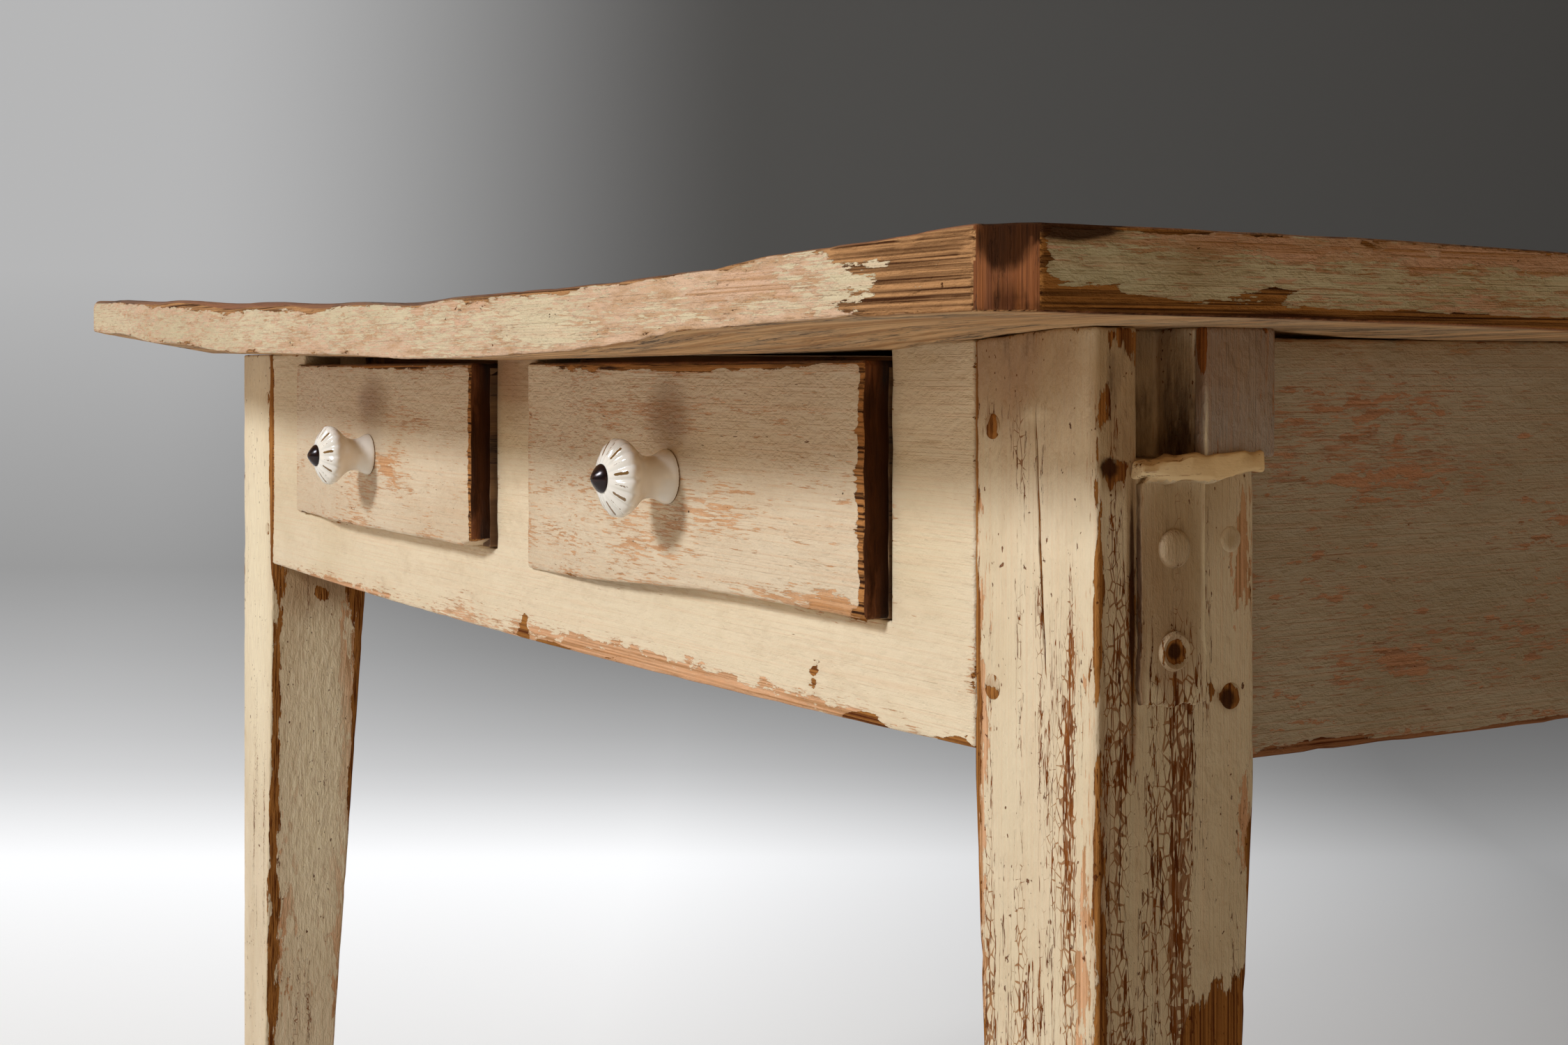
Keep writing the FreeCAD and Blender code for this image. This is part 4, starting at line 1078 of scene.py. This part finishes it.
# the upper screw is filled over with paint, the lower one is a broken crater in it
SHANK = [(0.5, 0), (2.2, 0.5), (2.2, 29.4)]
FILLED = SHANK + [(7.2, 29.8), (7.2, 30.8), (6.3, 32.0), (4.4, 32.7), (0.5, 33)]
CRATER = SHANK + [(7.4, 29.8), (7.4, 30.9), (6.4, 31.9), (5.2, 31.7), (4.3, 30.7), (2.5, 30.3), (0.5, 30.2)]
# pegs trimmed nearly flush and painted over with the legs
PEG = [(0.4, -34), (5, -34), (5, 0.1), (4.4, 0.6), (2.5, 0.75), (0.4, 0.6)]

SCREW_Y = -371              # screws and pegs by their places in mm
SCREW_HEIGHTS = (654, 616)
PEG_X, PEG_Y = 476, 341
FRONT_PEG_HEIGHTS = (698, 597)
SIDE_PEG_HEIGHTS = (656, 597)

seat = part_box("bracket_screws")[0].x / MM
plugs("bracket_screws_painted", "bracket_screws",
      [(profile, (seat, SCREW_Y, z), (1, 0, 0)) for profile, z in zip((FILLED, CRATER), SCREW_HEIGHTS)],
      SCREW_MARKS, waver=0.8, slot="painted_iron")
plugs("front_pegs_painted", "front_pegs",
      [(PEG, (PEG_X * sx, -HALF_DEPTH / MM, z), (0, -1, 0)) for sx in (-1, 1) for z in FRONT_PEG_HEIGHTS],
      PEG_MARKS, waver=0.3)
plugs("side_pegs_painted", "side_pegs",
      [(PEG, (HALF_LENGTH / MM * sx, PEG_Y * sy, z), (sx, 0, 0))
       for sx in (-1, 1) for sy in (-1, 1) for z in SIDE_PEG_HEIGHTS],
      PEG_MARKS, waver=0.3)

# ---- carried-over pieces ----


def carried_over(name):
    """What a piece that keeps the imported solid's shape is made of."""
    if "pegs" in name:
        return peg_wood
    if "screws" in name or "nails" in name or "nut" in name:
        return nail_iron
    if "drawer" in name and ("side" in name or "back" in name):
        return drawer_pine
    if name.startswith(("runner", "guide")) or "batten" in name or "side" in name:
        return inner_pine_y
    return inner_pine_x


for name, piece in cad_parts.items():
    if not piece.hide_render:
        piece.data.materials.clear()
        piece.data.materials.append(carried_over(name))

# ---- studio ----

ACROSS = Vector((0.5053, 0.8629, 0))        # level directions along the wall and towards it
AWAY = Vector((-0.8629, 0.5053, 0))
FLOOR_END = 2.2             # metres from the table's middle to where the floor starts to rise
BEND = 1.2                  # radius in which it turns up
WIDE, TALL, FORWARD = 8, 6.0, 6.0       # half its width, its height and its run to the front


def studio_paper(name):
    """Matt studio paper: white on the floor, grey on the wall and lighter to the left.

    The camera sees mostly this even grey, with a share of the real light and shadow mixed in. Its
    back is clear, so that the table can be looked at from any side.
    """
    material, tree = new_material(name)
    spot = add(tree, "TexCoord", {}, out=3)
    place = add(tree, "SeparateXYZ", {0: spot}).node
    across = add(tree, "VectorMath", {0: spot, 1: tuple(ACROSS)}, out=1, operation="DOT_PRODUCT")
    away = add(tree, "VectorMath", {0: spot, 1: tuple(AWAY)}, out=1, operation="DOT_PRODUCT")
    # the wall has a pool of light at the left, brighter higher up, over a faint even grey; the floor
    # is white and darkens to the right, and gives way to the wall further back
    pool = add(tree, RANGE, {0: across, 1: -1.62, 2: -0.22, 3: 1.0, 4: 0.0}, interpolation_type="SMOOTHSTEP")
    rise = add(tree, RANGE, {0: place.outputs[2], 1: 0.3, 2: 0.95, 3: 0.27, 4: 0.43})
    drift = add(tree, RANGE, {0: across, 1: -0.4, 2: 1.6, 3: 0.055, 4: 0.032})
    wall = add(tree, MATH, {0: pool, 1: rise, 2: drift}, operation="MULTIPLY_ADD")
    floor = add(tree, RANGE, {0: across, 1: -0.4, 2: 0.9, 3: 1.08, 4: 0.36})
    near = add(tree, RANGE, {0: away, 1: 3.0, 2: 1.7, 3: 0.0, 4: 1.0})
    level = add(tree, MIX, {0: near, 2: wall, 3: floor}, out=0, data_type="FLOAT")
    lit = add(tree, "BsdfPrincipled", {"Base Color": paint("#ECE6DA"), "Roughness": 0.9})
    seen_grey = add(tree, "Emission", {"Color": paint("#FCFDFF"), "Strength": level})
    rays = add(tree, "LightPath", {}).node
    seen = add(tree, MATH, {0: rays.outputs["Is Camera Ray"], 1: rays.outputs["Is Glossy Ray"]},
               operation="MAXIMUM")
    share = add(tree, RANGE, {0: away, 1: 0.2, 2: 1.6, 3: 0.45, 4: 0.92})
    share = add(tree, MATH, {0: seen, 1: share}, operation="MULTIPLY")
    both = add(tree, "MixShader", {0: share, 1: lit, 2: seen_grey})
    behind = add(tree, "NewGeometry", {}).node.outputs["Backfacing"]
    clear = add(tree, "BsdfTransparent", {})
    both = add(tree, "MixShader", {0: behind, 1: both, 2: clear})
    add(tree, "OutputMaterial", {"Surface": both})
    return material


def sweep():
    """Pale floor that curves up into a grey wall behind the table."""
    turns = [i * math.pi / 24 for i in range(1, 13)]    # a quarter turn in 12 steps
    lines = [(-FORWARD, 0.0), (FLOOR_END, 0.0)]
    lines += [(FLOOR_END + BEND * math.sin(turn), BEND - BEND * math.cos(turn)) for turn in turns]
    lines += [(FLOOR_END + BEND, TALL)]
    mesh = bmesh.new()
    rings = [[mesh.verts.new(AWAY * run + ACROSS * wide + Vector((0, 0, rise))) for wide in (-WIDE, WIDE)]
             for run, rise in lines]
    for low, high in zip(rings, rings[1:]):
        mesh.faces.new((low[0], low[1], high[1], high[0])).smooth = True
    piece = make_piece(mesh, "studio_sweep", "studio_sweep", studio_paper("studio_paper"))


def lamp(name, where, target, wide, power, tint):
    """Round soft light of a width in metres and a power in watts, aimed at a point."""
    data = bpy.data.lights.new(name, "AREA")
    data.shape = "DISK"
    data.size = wide
    data.energy = power
    data.color = paint(tint)[:3]
    piece = link(name, data)
    piece.location = where
    piece.rotation_euler = (Vector(target) - Vector(where)).to_track_quat("-Z", "Y").to_euler()


sweep()
lamp("key", (0.15, -3.9, 2.80), (0.15, -0.4, 0.5), 0.9, 142, "#EFF7FF")
lamp("front_fill", (-2.2, -3.6, 1.2), (0, -0.3, 0.6), 2.4, 14.8, "#FFD08E")
lamp("end_fill", (5.5, -1.9, 1.0), (0, -0.2, 0.5), 1.8, 14.5, "#FFDCAE")

world = bpy.data.worlds.new("studio_air")
bpy.context.scene.world = world
world.use_nodes = True
world.node_tree.nodes.clear()
sky = add(world.node_tree, "Background", {"Color": paint("#FFDAA4"), "Strength": 0.088})
add(world.node_tree, "OutputWorld", {"Surface": sky})

camera_data = bpy.data.cameras.new("camera")
camera_data.sensor_fit = "HORIZONTAL"
camera_data.sensor_width = 36
camera_data.lens = 48.72
camera_data.shift_y = -0.097
camera_data.clip_start = 0.01
camera_data.clip_end = 100
camera = link("camera", camera_data)
camera.location = (1.1454, -0.8906, 0.7197)
camera.rotation_euler = (math.radians(90), 0, math.radians(59.65))
bpy.context.scene.camera = camera
bpy.context.scene.view_settings.view_transform = "Standard"
